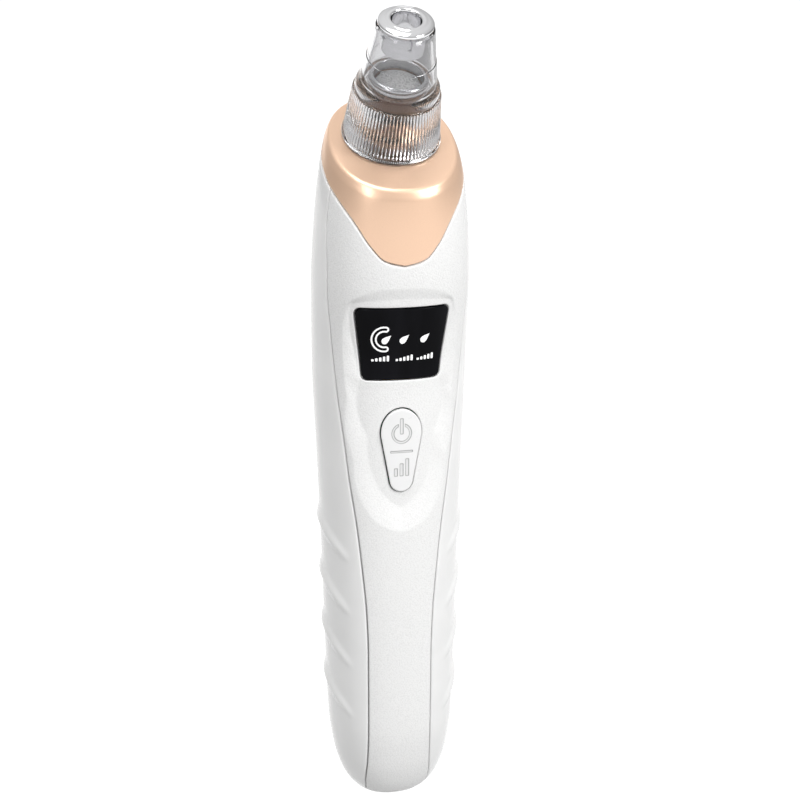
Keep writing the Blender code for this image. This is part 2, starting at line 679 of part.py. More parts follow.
# ================================================================ display and button
def build_display():
    """Black window, the light mask behind it and the board with its three lights."""
    bottom = DISPLAY_TOP - DISPLAY_HEIGHT
    lens = front_slab("lens", bottom - 5, DISPLAY_TOP + 7, RECESS_DEPTH, RECESS_DEPTH + LENS_THICKNESS)
    keep_inside(lens, prism("lens_shape", display_outline(), -BODY_DEPTH, -4.0))
    dress(lens, "display_lens", ((0.01, 0.01, 0.012), 0.08))

    middle = (DISPLAY_TOP + bottom) / 2
    low_y, high_y = (front_y(z, inset=RECESS_DEPTH + LENS_THICKNESS) for z in (bottom, DISPLAY_TOP))
    lean = math.atan2(low_y - high_y, DISPLAY_HEIGHT)
    edge = front_y(middle, DISPLAY_BOTTOM_WIDTH / 2 - 1.5, RECESS_DEPTH + LENS_THICKNESS)
    half_w, half_h = DISPLAY_BOTTOM_WIDTH / 2 - 1.7, DISPLAY_HEIGHT / 2 - 0.9
    centre = (0, edge + GAP + 0.3, middle)

    mask = block("light_mask", (-half_w, 0, -half_h), (half_w, MASK_DEPTH, half_h))
    for k in (-1, 0, 1):
        x = k * LED_PITCH
        reach = LED_SIZE / 2 + 0.5
        cut(mask, block("cell", (x - reach, -1, -reach), (x + reach, MASK_DEPTH + 1, reach)))
    place(mask, centre, turn_x=lean)
    dress(mask, "light_mask", BLACK_PLASTIC, smooth=False)

    board_at = MASK_DEPTH + GAP
    board = block("display_board", (-half_w, board_at, -half_h),
                  (half_w, board_at + DISPLAY_BOARD_THICKNESS, half_h), BOARD_GREEN)
    place(board, centre, turn_x=lean)
    for k, name in enumerate(("led_left", "led_centre", "led_right")):
        x = (k - 1) * LED_PITCH
        half = LED_SIZE / 2
        led = block(name, (x - half, board_at - GAP - LED_DEPTH, -half), (x + half, board_at - GAP, half),
                    ((0.9, 0.88, 0.6), 0.3))
        place(led, centre, turn_x=lean)


def build_button():
    """Rocker cap with its pivot rib and two push posts, and the pin it rocks on."""
    low = BUTTON_TOP - BUTTON_LENGTH
    cap = front_slab("cap", low - 4, BUTTON_TOP + 4, BUTTON_INSET, BUTTON_INSET + BUTTON_THICKNESS)
    keep_inside(cap, prism("cap_shape", button_outline(), -BODY_DEPTH, -4.0))
    back = BUTTON_FACE_Y + BUTTON_THICKNESS
    rib_half = BUTTON_END_RADIUS + 0.4
    join(cap, block("rib", (-rib_half, back - 0.5, PIVOT_Z - RIB_HALF),
                    (rib_half, PIVOT_Y + RIB_HALF, PIVOT_Z + RIB_HALF)))
    post_end = BOARD_FRONT - GAP - SWITCH_BODY - PLUNGER_PROUD - GAP
    for side in (-1, 1):
        z = PIVOT_Z + side * SWITCH_OFFSET
        post_start = front_y(z, inset=BUTTON_INSET + BUTTON_THICKNESS / 2)
        join(cap, y_rod("push_post", 0, z, post_start, post_end, PUSH_POST_RADIUS, steps=12))
    bearing = rod("bearing", PIN_RADIUS + GAP, PIN_LENGTH, steps=14)
    cut(cap, place(bearing, (-PIN_LENGTH / 2, PIVOT_Y, PIVOT_Z), turn_y=math.pi / 2))
    set_origin(dress(cap, "button_cap", WHITE_GLOSS), (0, PIVOT_Y, PIVOT_Z))

    pin = rod("button_pin", PIN_RADIUS, PIN_LENGTH, STEEL, steps=14)
    place(pin, (-PIN_LENGTH / 2, PIVOT_Y, PIVOT_Z), turn_y=math.pi / 2)


def build_switch(name, z):
    """One tactile switch: a square body with a round well, and the plunger in the well."""
    back = BOARD_FRONT - GAP
    front = back - SWITCH_BODY
    half = SWITCH_SIZE / 2
    body = block(name + "_switch", (-half, front, z - half), (half, back, z + half))
    cut(body, y_rod("well", 0, z, front - 1, back - WELL_FLOOR, PLUNGER_RADIUS + GAP, steps=14))
    dress(body, name + "_switch", BLACK_PLASTIC, smooth=False)
    length = SWITCH_BODY - WELL_FLOOR - PLUNGER_TRAVEL + PLUNGER_PROUD
    plunger = rod(name + "_plunger", PLUNGER_RADIUS, length, ((0.7, 0.7, 0.68), 0.4), steps=14)
    place(plunger, (0, front - PLUNGER_PROUD, z), turn_x=-math.pi / 2)


# ================================================================ inside the handle
def build_frame():
    """Inner frame: a spine plate with battery rails, cross walls and screw holes."""
    half = BOARD_WIDTH / 2 + 0.8
    frame = block("inner_frame", (-half, PLATE_FRONT, PLATE_BOTTOM), (half, PLATE_BACK, PLATE_TOP - 6.0))
    join(frame, block("tab", (-3.4, PLATE_FRONT, LOW_SCREW_Z - 2.8), (3.4, PLATE_BACK, PLATE_BOTTOM + 1.0)))
    wide = HIGH_SCREW_X + 2.4
    join(frame, block("top_plate", (-wide, PLATE_FRONT, HIGH_SCREW_Z - 3.4), (wide, PLATE_BACK, PLATE_TOP)))
    for side in (-1, 1):
        ends = sorted((side * (BATTERY_RADIUS + GAP), side * half))
        join(frame, block("rail", (ends[0], PLATE_BACK - 0.6, CELL_BOTTOM - 1.3),
                          (ends[1], CELL_Y - 1.0, CELL_TOP + 1.3)))
    for z in (CELL_BOTTOM - 1.3, CELL_TOP + GAP):
        join(frame, block("wall", (-half, PLATE_BACK - 0.6, z), (half, CELL_Y + 2.0, z + 1.0)))
    join(frame, block("ledge", (-half, PLATE_BACK - 0.6, MOTOR_BOTTOM - 1.3),
                      (half, PUMP_Y + 2.0, MOTOR_BOTTOM - GAP)))
    for x, z in SCREW_SPOTS.values():
        cut(frame, y_rod("hole", x, z, PLATE_FRONT - 1, PLATE_BACK + 1, SCREW_RADIUS + GAP, steps=12))
    for x, z in BOARD_SCREW_SPOTS.values():
        cut(frame, y_rod("hole", x, z, PLATE_FRONT - 1, PLATE_BACK + 3, BOARD_SCREW_RADIUS + GAP, steps=10))
    dress(frame, "inner_frame", ((0.75, 0.75, 0.73), 0.5), smooth=False)


def build_screws():
    """Four screws that pull the frame onto the rear shell's posts."""
    for name, (x, z) in SCREW_SPOTS.items():
        screw = turned("screw_" + name, [
            (0, 0), (SCREW_HEAD_RADIUS, 0), (SCREW_HEAD_RADIUS, SCREW_HEAD),
            (SCREW_RADIUS, SCREW_HEAD), (SCREW_RADIUS, SCREW_LENGTH), (0, SCREW_LENGTH + 0.8),
        ], STEEL, steps=14)
        place(screw, (x, PLATE_FRONT - GAP - SCREW_HEAD, z), turn_x=-math.pi / 2)


def build_main_board():
    """Control board with its charging and control chips, screwed to the spine plate."""
    half = BOARD_WIDTH / 2
    board = block("main_board", (-half, BOARD_FRONT, BOARD_BOTTOM), (half, BOARD_BACK, BOARD_TOP))
    cut(board, y_rod("hole", 0, MID_SCREW_Z, BOARD_FRONT - 1, BOARD_BACK + 1,
                     SCREW_HEAD_RADIUS + 0.6, steps=14))
    for name, (x, z) in BOARD_SCREW_SPOTS.items():
        cut(board, y_rod("hole", x, z, BOARD_FRONT - 1, BOARD_BACK + 1, BOARD_SCREW_RADIUS + GAP, steps=10))
        screw = turned("board_screw_" + name, [
            (0, 0), (1.4, 0), (1.4, 0.8), (BOARD_SCREW_RADIUS, 0.8), (BOARD_SCREW_RADIUS, 3.4), (0, 3.4),
        ], STEEL, steps=12)
        place(screw, (x, BOARD_FRONT - GAP - 0.8, z), turn_x=-math.pi / 2)
    dress(board, "main_board", BOARD_GREEN, smooth=False)
    chips = {
        "control_chip": (BOARD_TOP - 29.0, 3.0, 3.0, 1.2),
        "charge_chip": (BOARD_BOTTOM + 7.0, 2.2, 2.6, 1.1),
        "coil": (BOARD_BOTTOM + 14.0, 2.6, 2.6, 1.6),
    }
    for name, (z, half_x, half_z, tall) in chips.items():
        block(name, (-half_x, BOARD_FRONT - GAP - tall, z - half_z),
              (half_x, BOARD_FRONT - GAP, z + half_z),
              BLACK_PLASTIC)


def build_battery():
    """Round lithium cell lying behind the spine plate, with its raised positive end."""
    cell = turned("battery_cell", [
        (0, CELL_BOTTOM), (BATTERY_RADIUS - 0.5, CELL_BOTTOM), (BATTERY_RADIUS, CELL_BOTTOM + 0.5),
        (BATTERY_RADIUS, CELL_TOP - 1.3), (BATTERY_RADIUS - 0.5, CELL_TOP - 0.8),
        (2.6, CELL_TOP - 0.8), (2.6, CELL_TOP), (0, CELL_TOP),
    ], ((0.1, 0.3, 0.5), 0.4), steps=32)
    place(cell, (0, CELL_Y, 0))


def build_port():
    """Charging socket that opens through the back wall near the foot, on its own small board."""
    half_w, half_h = PORT_WIDTH / 2, PORT_HEIGHT / 2
    inner_end = PORT_MOUTH - PORT_DEPTH
    port = block("charging_port", (-half_w, inner_end, PORT_Z - half_h),
                 (half_w, PORT_MOUTH, PORT_Z + half_h))
    cut(port, block("mouth", (-half_w + PORT_SHELL, inner_end + 1, PORT_Z - half_h + PORT_SHELL),
                    (half_w - PORT_SHELL, PORT_MOUTH + 1, PORT_Z + half_h - PORT_SHELL)))
    dress(port, "charging_port", STEEL, smooth=False)
    block("port_tongue", (-half_w + 1.2, inner_end + 1 + GAP, PORT_Z - 0.3),
          (half_w - 1.2, PORT_MOUTH - 0.6, PORT_Z + 0.3), BLACK_PLASTIC)
    block("port_board", (-half_w, inner_end - 1.0, PORT_BOARD_Z),
          (half_w, PORT_MOUTH - 2.6, PORT_BOARD_Z + PORT_BOARD_THICKNESS), BOARD_GREEN)


def build_motor():
    """Flat-sided motor can, its end cap, and the shaft with the eccentric that drives the pump."""
    half = MOTOR_DEPTH / 2
    flat = math.degrees(math.asin(min(1.0, half / (MOTOR_WIDTH / 2))))
    outline = []
    for start, sweep in ((-flat, 2 * flat), (180 - flat, 2 * flat)):
        for k in range(9):
            a = math.radians(start + sweep * k / 8)
            outline.append((MOTOR_WIDTH / 2 * math.cos(a), MOTOR_WIDTH / 2 * math.sin(a)))
    can = loft("motor_can", [[(x, PUMP_Y + y, z) for x, y in outline]
                             for z in (MOTOR_BOTTOM + MOTOR_CAP_LENGTH + GAP, MOTOR_TOP)])
    bore = rod("bore", SHAFT_RADIUS + GAP, SHAFT_SUNK + 2, steps=14)
    cut(can, place(bore, (0, PUMP_Y, MOTOR_TOP - SHAFT_SUNK)))
    dress(can, "motor_can", STEEL)
    loft("motor_end_cap", [[(x, PUMP_Y + y, z) for x, y in outline]
                           for z in (MOTOR_BOTTOM, MOTOR_BOTTOM + MOTOR_CAP_LENGTH)],
         BLACK_PLASTIC, smooth=True)
    shaft_bottom = MOTOR_TOP - SHAFT_SUNK + GAP
    wheel_bottom = HOUSING_BOTTOM + 1.5
    shaft = turned("motor_shaft", [
        (0, shaft_bottom), (SHAFT_RADIUS, shaft_bottom), (SHAFT_RADIUS, wheel_bottom - GAP),
        (0, wheel_bottom - GAP),
    ], STEEL, steps=14)
    place(shaft, (0, PUMP_Y, 0))
    wheel = turned("eccentric_wheel", [
        (0, wheel_bottom), (ECCENTRIC_RADIUS, wheel_bottom),
        (ECCENTRIC_RADIUS, wheel_bottom + ECCENTRIC_LENGTH), (0, wheel_bottom + ECCENTRIC_LENGTH),
    ], steps=24)
    crank = place(rod("crank", CRANK_RADIUS, CRANK_LENGTH, steps=12),
                  (CRANK_OFFSET, 0, wheel_bottom + ECCENTRIC_LENGTH - 0.6))
    join(wheel, crank)
    place(dress(wheel, "eccentric_wheel", ((0.8, 0.8, 0.78), 0.4)), (0, PUMP_Y, 0))


def build_pump():
    """Pump housing, diaphragm, valve plate and the cover with its two hose barbs."""
    housing = turned("pump_housing", [
        (SHAFT_RADIUS + 0.6, HOUSING_BOTTOM), (PUMP_RADIUS, HOUSING_BOTTOM),
        (PUMP_RADIUS, HOUSING_BOTTOM + PUMP_HOUSING_LENGTH),
        (PUMP_RADIUS - PUMP_WALL, HOUSING_BOTTOM + PUMP_HOUSING_LENGTH),
        (PUMP_RADIUS - PUMP_WALL, HOUSING_BOTTOM + PUMP_FLOOR),
        (SHAFT_RADIUS + 0.6, HOUSING_BOTTOM + PUMP_FLOOR),
    ], steps=32)
    place(housing, (0, PUMP_Y, 0))
    window = block("window", (-3, PUMP_Y + 4, HOUSING_BOTTOM + 3),
                   (3, PUMP_Y + PUMP_RADIUS + 2, HOUSING_BOTTOM + PUMP_HOUSING_LENGTH - 3))
    cut(housing, window)
    dress(housing, "pump_housing", ((0.15, 0.15, 0.16), 0.45))

    place(turned("pump_diaphragm", [
        (0, DIAPHRAGM_BOTTOM - 2.2), (2.6, DIAPHRAGM_BOTTOM - 2.2), (4.4, DIAPHRAGM_BOTTOM),
        (PUMP_RADIUS, DIAPHRAGM_BOTTOM), (PUMP_RADIUS, DIAPHRAGM_BOTTOM + DIAPHRAGM),
        (0, DIAPHRAGM_BOTTOM + DIAPHRAGM),
    ], BLACK_RUBBER, steps=32), (0, PUMP_Y, 0))
    place(turned("valve_plate", [
        (0, VALVE_BOTTOM), (PUMP_RADIUS, VALVE_BOTTOM), (PUMP_RADIUS, VALVE_BOTTOM + VALVE_PLATE),
        (0, VALVE_BOTTOM + VALVE_PLATE),
    ], ((0.7, 0.7, 0.68), 0.4), steps=32), (0, PUMP_Y, 0))

    cover = turned("pump_cover", [
        (0, COVER_BOTTOM), (PUMP_RADIUS, COVER_BOTTOM), (PUMP_RADIUS, PUMP_TOP - 0.6),
        (PUMP_RADIUS - 0.6, PUMP_TOP), (0, PUMP_TOP),
    ], steps=32)
    place(cover, (0, PUMP_Y, 0))
    for y in (INLET_Y, OUTLET_Y):
        join(cover, place(rod("barb", BARB_RADIUS, BARB_LENGTH, steps=14), (0, y, PUMP_TOP - BARB_SUNK)))
        bore = rod("barb_bore", BARB_BORE, BARB_LENGTH + 2, steps=10)
        cut(cover, place(bore, (0, y, PUMP_TOP - 2 * BARB_SUNK)))
    dress(cover, "pump_cover", ((0.15, 0.15, 0.16), 0.45))


def hose(name, route, radius, bore, look, sides=12, rows=14):
    """Open tube with a bore along a smooth curve through the route's points."""
    knots = [Vector(p) for p in route]
    knots = [2 * knots[0] - knots[1]] + knots + [2 * knots[-1] - knots[-2]]
    spans = len(knots) - 3
    line = []
    for r in range(rows + 1):
        t = spans * r / rows
        k = min(int(t), spans - 1)
        s = t - k
        a, b, c, d = knots[k:k + 4]
        line.append(0.5 * ((2 * b) + (c - a) * s + (2 * a - 5 * b + 4 * c - d) * s * s
                           + (3 * b - a - 3 * c + d) * s ** 3))
    points, faces = [], []
    for r, centre in enumerate(line):
        along = (line[min(r + 1, rows)] - line[max(r - 1, 0)]).normalized()
        side = Vector((1, 0, 0))
        up = along.cross(side).normalized()
        for size in (radius, bore):
            points += [centre + size * (side * math.cos(2 * math.pi * k / sides)
                                        + up * math.sin(2 * math.pi * k / sides)) for k in range(sides)]
    ring = 2 * sides
    for k in range(sides):
        n = (k + 1) % sides
        for r in range(rows):
            faces.append((r * ring + k, r * ring + n, (r + 1) * ring + n, (r + 1) * ring + k))
            faces.append((r * ring + sides + k, (r + 1) * ring + sides + k,
                          (r + 1) * ring + sides + n, r * ring + sides + n))
        for r in (0, rows):
            faces.append((r * ring + k, r * ring + n, r * ring + sides + n, r * ring + sides + k))
    return add_object(name, points, faces, look, smooth=True)


def build_hoses():
    """Suction hose from the nozzle spigot to the pump, and the short outlet hose to the vents."""
    silicone = ((0.8, 0.8, 0.8), 0.5)
    spigot_end = SEAT - TIP_AXIS * (SPIGOT_LENGTH - 3.5)
    hose("suction_hose", [
        spigot_end, spigot_end - TIP_AXIS * 3.8, spigot_end - TIP_AXIS * 7.0,
        Vector((0, INLET_Y, PUMP_TOP + 8.0)), Vector((0, INLET_Y, PUMP_TOP + 0.8)),
    ], HOSE_RADIUS, HOSE_BORE, silicone)
    hose("outlet_hose", [
        Vector((0, OUTLET_Y, PUMP_TOP + 0.8)), Vector((0, OUTLET_Y, PUMP_TOP + 5.2)),
        Vector((0, OUTLET_Y + 0.8, PUMP_TOP + 7.6)),
    ], OUTLET_HOSE_RADIUS, HOSE_BORE, silicone, rows=8)


def wire(name, route, look, radius=0.45):
    """Thin insulated wire as a round curve with closed ends."""
    curve = bpy.data.curves.new(name, "CURVE")
    curve.dimensions = "3D"
    curve.bevel_depth = radius * MM
    curve.bevel_resolution = 1
    curve.use_fill_caps = True
    spline = curve.splines.new("POLY")
    spline.points.add(len(route) - 1)
    for point, spot in zip(spline.points, route):
        point.co = (*(Vector(spot) * MM), 1)
    curve.materials.append(finish(name, *look))
    obj = bpy.data.objects.new(name, curve)
    bpy.context.collection.objects.link(obj)
    return obj


def build_wires():
    """Battery and motor leads, which run beside the spine plate to the board's edges."""
    red, black = ((0.5, 0.03, 0.03), 0.5), BLACK_PLASTIC
    edge = BOARD_WIDTH / 2 + 0.8 + 0.75
    for name, side, look in (("red", 1, red), ("black", -1, black)):
        x = side * edge
        wire("motor_wire_" + name, [
            (side * (MOTOR_WIDTH / 2 + 0.9), PUMP_Y, MOTOR_BOTTOM + 1.5),
            (side * (MOTOR_WIDTH / 2 + 0.9), PLATE_BACK + 1.5, MOTOR_BOTTOM + 1.5),
            (x, PLATE_FRONT, MOTOR_BOTTOM + 2.4), (x, BOARD_FRONT - 0.4, MOTOR_BOTTOM + 3.4),
            (side * (BOARD_WIDTH / 2 - 1.0), BOARD_FRONT - 1.0, MOTOR_BOTTOM + 4.4),
        ], look)
        wire("battery_wire_" + name, [
            (side * 4.0, CELL_Y, CELL_TOP + 2.2), (side * 6.6, CELL_Y - 1.5, CELL_TOP + 2.2),
            (x, PLATE_BACK + 1.5, CELL_TOP + 2.2), (x, PLATE_FRONT, CELL_TOP + 1.4),
            (x, BOARD_FRONT - 0.4, CELL_TOP - 1.0), (side * (BOARD_WIDTH / 2 - 1.0), BOARD_FRONT - 1.0,
                                                    CELL_TOP - 3.0),
        ], look)


# ================================================================ suction end
def build_nozzle():
    """Fixed nozzle with its flange, hose spigot, O-rings, filter and metal rim ring."""
    flange = NOZZLE_RADIUS + 1.6
    under = -COLLAR_PLATE - GAP
    groove = O_RING_SECTION * 0.8
    profile = [(NOZZLE_RADIUS, under), (NOZZLE_RADIUS, O_RING_LEVELS[0] - 0.8)]
    for level in O_RING_LEVELS:
        profile += [(NOZZLE_RADIUS, level - 0.8), (NOZZLE_RADIUS - groove, level - 0.8),
                    (NOZZLE_RADIUS - groove, level + 0.8), (NOZZLE_RADIUS, level + 0.8)]
    profile = profile[:1] + profile[2:]
    profile += [
        (NOZZLE_RADIUS, NOZZLE_TOP), (NOZZLE_BORE, NOZZLE_TOP), (NOZZLE_BORE, NOZZLE_TOP - 2.5),
        (NOZZLE_BORE - 1.2, NOZZLE_TOP - 2.5), (NOZZLE_BORE - 1.2, 0.6), (BARB_BORE, -1.4),
        (BARB_BORE, -SPIGOT_LENGTH), (BARB_RADIUS, -SPIGOT_LENGTH), (BARB_RADIUS, under - 1.6),
        (flange, under - 1.6), (flange, under),
    ]
    seat_parts = [turned("suction_nozzle", profile, ((0.30, 0.20, 0.17), 0.35))]
    for name, level in zip(("o_ring_lower", "o_ring_upper"), O_RING_LEVELS):
        r = O_RING_SECTION / 2
        middle = NOZZLE_RADIUS - groove + GAP - 0.05 + r
        seat_parts.append(turned(name, [
            (middle + r * math.cos(2 * math.pi * k / 6), level + r * math.sin(2 * math.pi * k / 6))
            for k in range(6)
        ], BLACK_RUBBER, steps=28))
    sponge_bottom = NOZZLE_TOP - 2.5 + GAP
    seat_parts.append(turned("filter_sponge", [
        (0, sponge_bottom), (NOZZLE_BORE - GAP, sponge_bottom),
        (NOZZLE_BORE - GAP, sponge_bottom + SPONGE_THICKNESS), (0, sponge_bottom + SPONGE_THICKNESS),
    ], ((0.85, 0.85, 0.83), 0.9), steps=32))
    ring_bottom = NOZZLE_TOP + GAP
    seat_parts.append(turned("rim_ring", [
        (NOZZLE_BORE, ring_bottom), (NOZZLE_RADIUS, ring_bottom),
        (NOZZLE_RADIUS, ring_bottom + RIM_RING_HEIGHT - 0.4),
        (NOZZLE_RADIUS - 0.4, ring_bottom + RIM_RING_HEIGHT), (NOZZLE_BORE, ring_bottom + RIM_RING_HEIGHT),
    ], ((0.7, 0.7, 0.7), 0.3, 0.9)))
    return seat_parts


def build_tip():
    """Pull-off tip: the clear cone with its ribbed skirt, and the chrome mouth pressed into it."""
    base = GAP
    sleeve_hole = SLEEVE_RADIUS + GAP
    shelf = SLEEVE_BOTTOM + 0.6
    body = turned("tip_body", [
        (TIP_BORE, base), (SKIRT_BASE_RADIUS, base), (SKIRT_BASE_RADIUS, base + 0.6),
        (SKIRT_TOP_RADIUS, SKIRT_HEIGHT), (SKIRT_TOP_RADIUS - 0.35, SKIRT_HEIGHT + 1.3),
        (CONE_BASE_RADIUS, CONE_START), (CONE_TOP_RADIUS, CONE_TOP), (sleeve_hole, CONE_TOP),
        (sleeve_hole, shelf), (CONE_TOP_RADIUS + 0.1, shelf - 1.2),
        (CONE_BASE_RADIUS - CONE_WALL - 0.2, CONE_START + 1.9), (TIP_BORE, CONE_START + 0.8),
    ], CLEAR, steps=40)
    lip_base = CONE_TOP + GAP
    lip_mid = (LIP_TOP + lip_base) / 2
    insert = turned("tip_insert", [
        (MOUTH_RADIUS, SLEEVE_BOTTOM), (SLEEVE_RADIUS, SLEEVE_BOTTOM), (SLEEVE_RADIUS, lip_base),
        (LIP_RADIUS - 0.3, lip_base), (LIP_RADIUS, lip_base + 0.35), (LIP_RADIUS, lip_mid),
        (LIP_RADIUS - 0.5, LIP_TOP - 0.25), (LIP_RADIUS - 1.2, LIP_TOP), (MOUTH_RADIUS + 0.6, LIP_TOP - 0.1),
        (MOUTH_RADIUS, LIP_TOP - 0.6),
    ], ((0.75, 0.75, 0.76), 0.06, 1.0), steps=36)
    return [body, insert]


def build_suction_end():
    """Stand the nozzle and tip pieces on the seat, leaning forward with the head."""
    seat = bpy.data.objects.new("tip_seat", None)
    bpy.context.collection.objects.link(seat)
    place(seat, SEAT, turn_x=HEAD_TILT)
    for piece in build_nozzle() + build_tip():
        piece.parent = seat


def build_pads():
    """Foam pads that keep the cell and the motor from rattling against the back wall."""
    foam = ((0.05, 0.05, 0.05), 0.95)
    cell_back = CELL_Y + BATTERY_RADIUS + GAP
    middle = (CELL_BOTTOM + CELL_TOP) / 2
    block("battery_pad", (-3.5, cell_back, middle - 11), (3.5, cell_back + 1.8, middle + 11), foam)
    motor_back = PUMP_Y + MOTOR_DEPTH / 2 + GAP
    block("motor_pad", (-4.5, motor_back, MOTOR_BOTTOM + 6), (4.5, motor_back + 1.0, MOTOR_TOP - 4), foam)


def build_ribbon():
    """Flat cable that joins the display board to the control board."""
    front = BOARD_FRONT - GAP - 0.3
    low = DISPLAY_TOP - DISPLAY_HEIGHT
    path = [(front, BOARD_TOP - 2.0), (front, BOARD_TOP + 0.6), (front + 0.5, low - 0.4),
            (front + 0.62, low + 1.6), (front + 0.3, low + 4.6)]
    loft("display_ribbon", [
        [(-3, y, z), (3, y, z), (3, y + 0.25, z), (-3, y + 0.25, z)] for y, z in path
    ], ((0.75, 0.55, 0.2), 0.4))


def main():
    """Build the whole device."""
    clear_scene()
    build_outer_shells()
    build_display()
    build_button()
    build_switch("power", PIVOT_Z + SWITCH_OFFSET)
    build_switch("mode", PIVOT_Z - SWITCH_OFFSET)
    build_frame()
    build_screws()
    build_main_board()
    build_battery()
    build_port()
    build_motor()
    build_pump()
    build_hoses()
    build_pads()
    build_ribbon()
    build_wires()
    build_suction_end()


main()
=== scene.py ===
import json
import logging
import math
from dataclasses import dataclass, field
from enum import Enum

import bpy
import numpy as np
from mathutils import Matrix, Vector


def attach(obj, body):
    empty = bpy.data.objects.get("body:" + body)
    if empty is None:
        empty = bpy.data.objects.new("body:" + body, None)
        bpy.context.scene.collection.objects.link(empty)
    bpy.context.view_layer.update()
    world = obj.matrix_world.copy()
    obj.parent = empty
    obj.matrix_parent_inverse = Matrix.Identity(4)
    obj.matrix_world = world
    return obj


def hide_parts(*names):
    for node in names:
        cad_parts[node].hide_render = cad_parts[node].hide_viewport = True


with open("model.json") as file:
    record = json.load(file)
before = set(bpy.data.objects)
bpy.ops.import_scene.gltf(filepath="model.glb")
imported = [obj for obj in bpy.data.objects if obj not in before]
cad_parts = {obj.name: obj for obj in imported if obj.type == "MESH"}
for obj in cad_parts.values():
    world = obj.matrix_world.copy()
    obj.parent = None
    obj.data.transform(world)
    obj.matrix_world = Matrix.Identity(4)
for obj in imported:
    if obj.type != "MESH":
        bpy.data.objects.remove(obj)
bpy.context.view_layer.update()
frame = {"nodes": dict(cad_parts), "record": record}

# Looks of a handheld pore vacuum that stands on its foot: +Z runs up the handle and the display and
# button face -Y. Shapes are worked out in millimetres and stored in metres. A place on the handle's
# surface is named by its station (height along the bent handle) and its angle from the front.

LOG = logging.getLogger("pore_vacuum")
MM = 0.001
FAR = 9.0               # a distance past any rounding, for points that lie away from an edge
SETTLING_ROUNDS = 6     # rounds after which a joint line and the seam agree
Stations = tuple[tuple[float, float], ...]
Colour = tuple[float, float, float]


class Body(Enum):
    """The moving bodies of the device, by the names the frame gives them."""

    HANDLE = "handle"
    TIP = "tip"
    ROCKER = "rocker"


# ============================================================ curves and mesh forms
def smooth_curve(stations: Stations, at: np.ndarray) -> np.ndarray:
    """Smooth curve through stations that never overshoots them.

    Each span is a cubic with Fritsch-Carlson slopes: the weighted harmonic mean of the neighbouring
    spans' slopes, and zero where the curve turns.

    Args:
        stations: (position, value) pairs in rising order.
        at: positions to read the curve at.

    Returns:
        The curve's value at each position.
    """
    xs, ys = np.array(stations, float).T
    step = np.diff(xs)
    slope = np.diff(ys) / step
    before, after = slope[:-1], slope[1:]
    same = before * after > 0
    w1, w2 = 2 * step[1:] + step[:-1], step[1:] + 2 * step[:-1]
    inner = np.where(same, (w1 + w2) / (w1 / np.where(same, before, 1) + w2 / np.where(same, after, 1)), 0)
    tangent = np.concatenate([slope[:1], inner, slope[-1:]])
    at = np.clip(at, xs[0], xs[-1])
    k = np.clip(np.searchsorted(xs, at) - 1, 0, len(xs) - 2)
    s = (at - xs[k]) / step[k]
    return ((1 + 2 * s) * (1 - s) ** 2 * ys[k] + s * (1 - s) ** 2 * step[k] * tangent[k]
            + s * s * (3 - 2 * s) * ys[k + 1] + s * s * (s - 1) * step[k] * tangent[k + 1])


def ease(value: np.ndarray) -> np.ndarray:
    """0 below 0, 1 above 1 and 3v^2 - 2v^3 between."""
    v = np.clip(value, 0.0, 1.0)
    return v * v * (3 - 2 * v)


def round_steps(radius: float, steps: int = 4) -> np.ndarray:
    """Distances from an edge at which a rounding of this radius is sampled: radius (1 - cos)."""
    return radius * (1 - np.cos(np.linspace(0, math.pi / 2, steps + 1)))


def round_drop(distance: np.ndarray, radius: float) -> np.ndarray:
    """How far a rounded edge sinks at a distance from it: a quarter circle, radius - sqrt(r^2 - near^2)."""
    near = np.clip(radius - distance, 0, radius)
    return radius - np.sqrt(radius**2 - near**2)


def hull_outline(rounds: tuple[tuple[float, float, float, float], ...], grow: float = 0.0) -> np.ndarray:
    """Closed outline stretched round a set of ellipses, evenly sampled.

    For each direction the point of the ellipse that reaches furthest is taken, c + (rx^2 nx, rz^2 nz)
    over the ellipse's support length, and the chain of such points is resampled by its length.

    Args:
        rounds: (x, z, radius across, radius along) of each ellipse.
        grow: distance added to every radius.

    Returns:
        (n, 2) array of x and z.
    """
    turn = np.linspace(-math.pi, math.pi, 1441)
    n = np.stack([np.cos(turn), np.sin(turn)], axis=-1)
    x, z, rx, rz = np.array(rounds, float).T[..., None]
    rx, rz = rx + grow, rz + grow
    reach = np.sqrt((rx * n[:, 0]) ** 2 + (rz * n[:, 1]) ** 2)
    best = np.argmax(x * n[:, 0] + z * n[:, 1] + reach, axis=0)
    column = np.arange(len(turn))
    points = np.stack([(x + rx**2 * n[:, 0] / reach)[best, column],
                       (z + rz**2 * n[:, 1] / reach)[best, column]], axis=-1)
    along = np.concatenate([[0], np.cumsum(np.linalg.norm(np.diff(points, axis=0), axis=1))])
    at = np.linspace(0, along[-1], 3000)
    return np.stack([np.interp(at, along, points[:, 0]), np.interp(at, along, points[:, 1])], axis=-1)


def polar_radius(outline: np.ndarray, centre_z: float, angle: np.ndarray) -> np.ndarray:
    """Distance from (0, centre_z) to a star-shaped outline in each direction.

    Args:
        outline: (n, 2) array of x and z.
        centre_z: height of the point that the distances start from.
        angle: directions in radians, from +x towards +z.

    Returns:
        The distance in each direction.
    """
    x, z = outline[:, 0], outline[:, 1] - centre_z
    turn = np.arctan2(z, x)
    order = np.argsort(turn)
    return np.interp(angle, turn[order], np.hypot(x, z)[order], period=2 * math.pi)


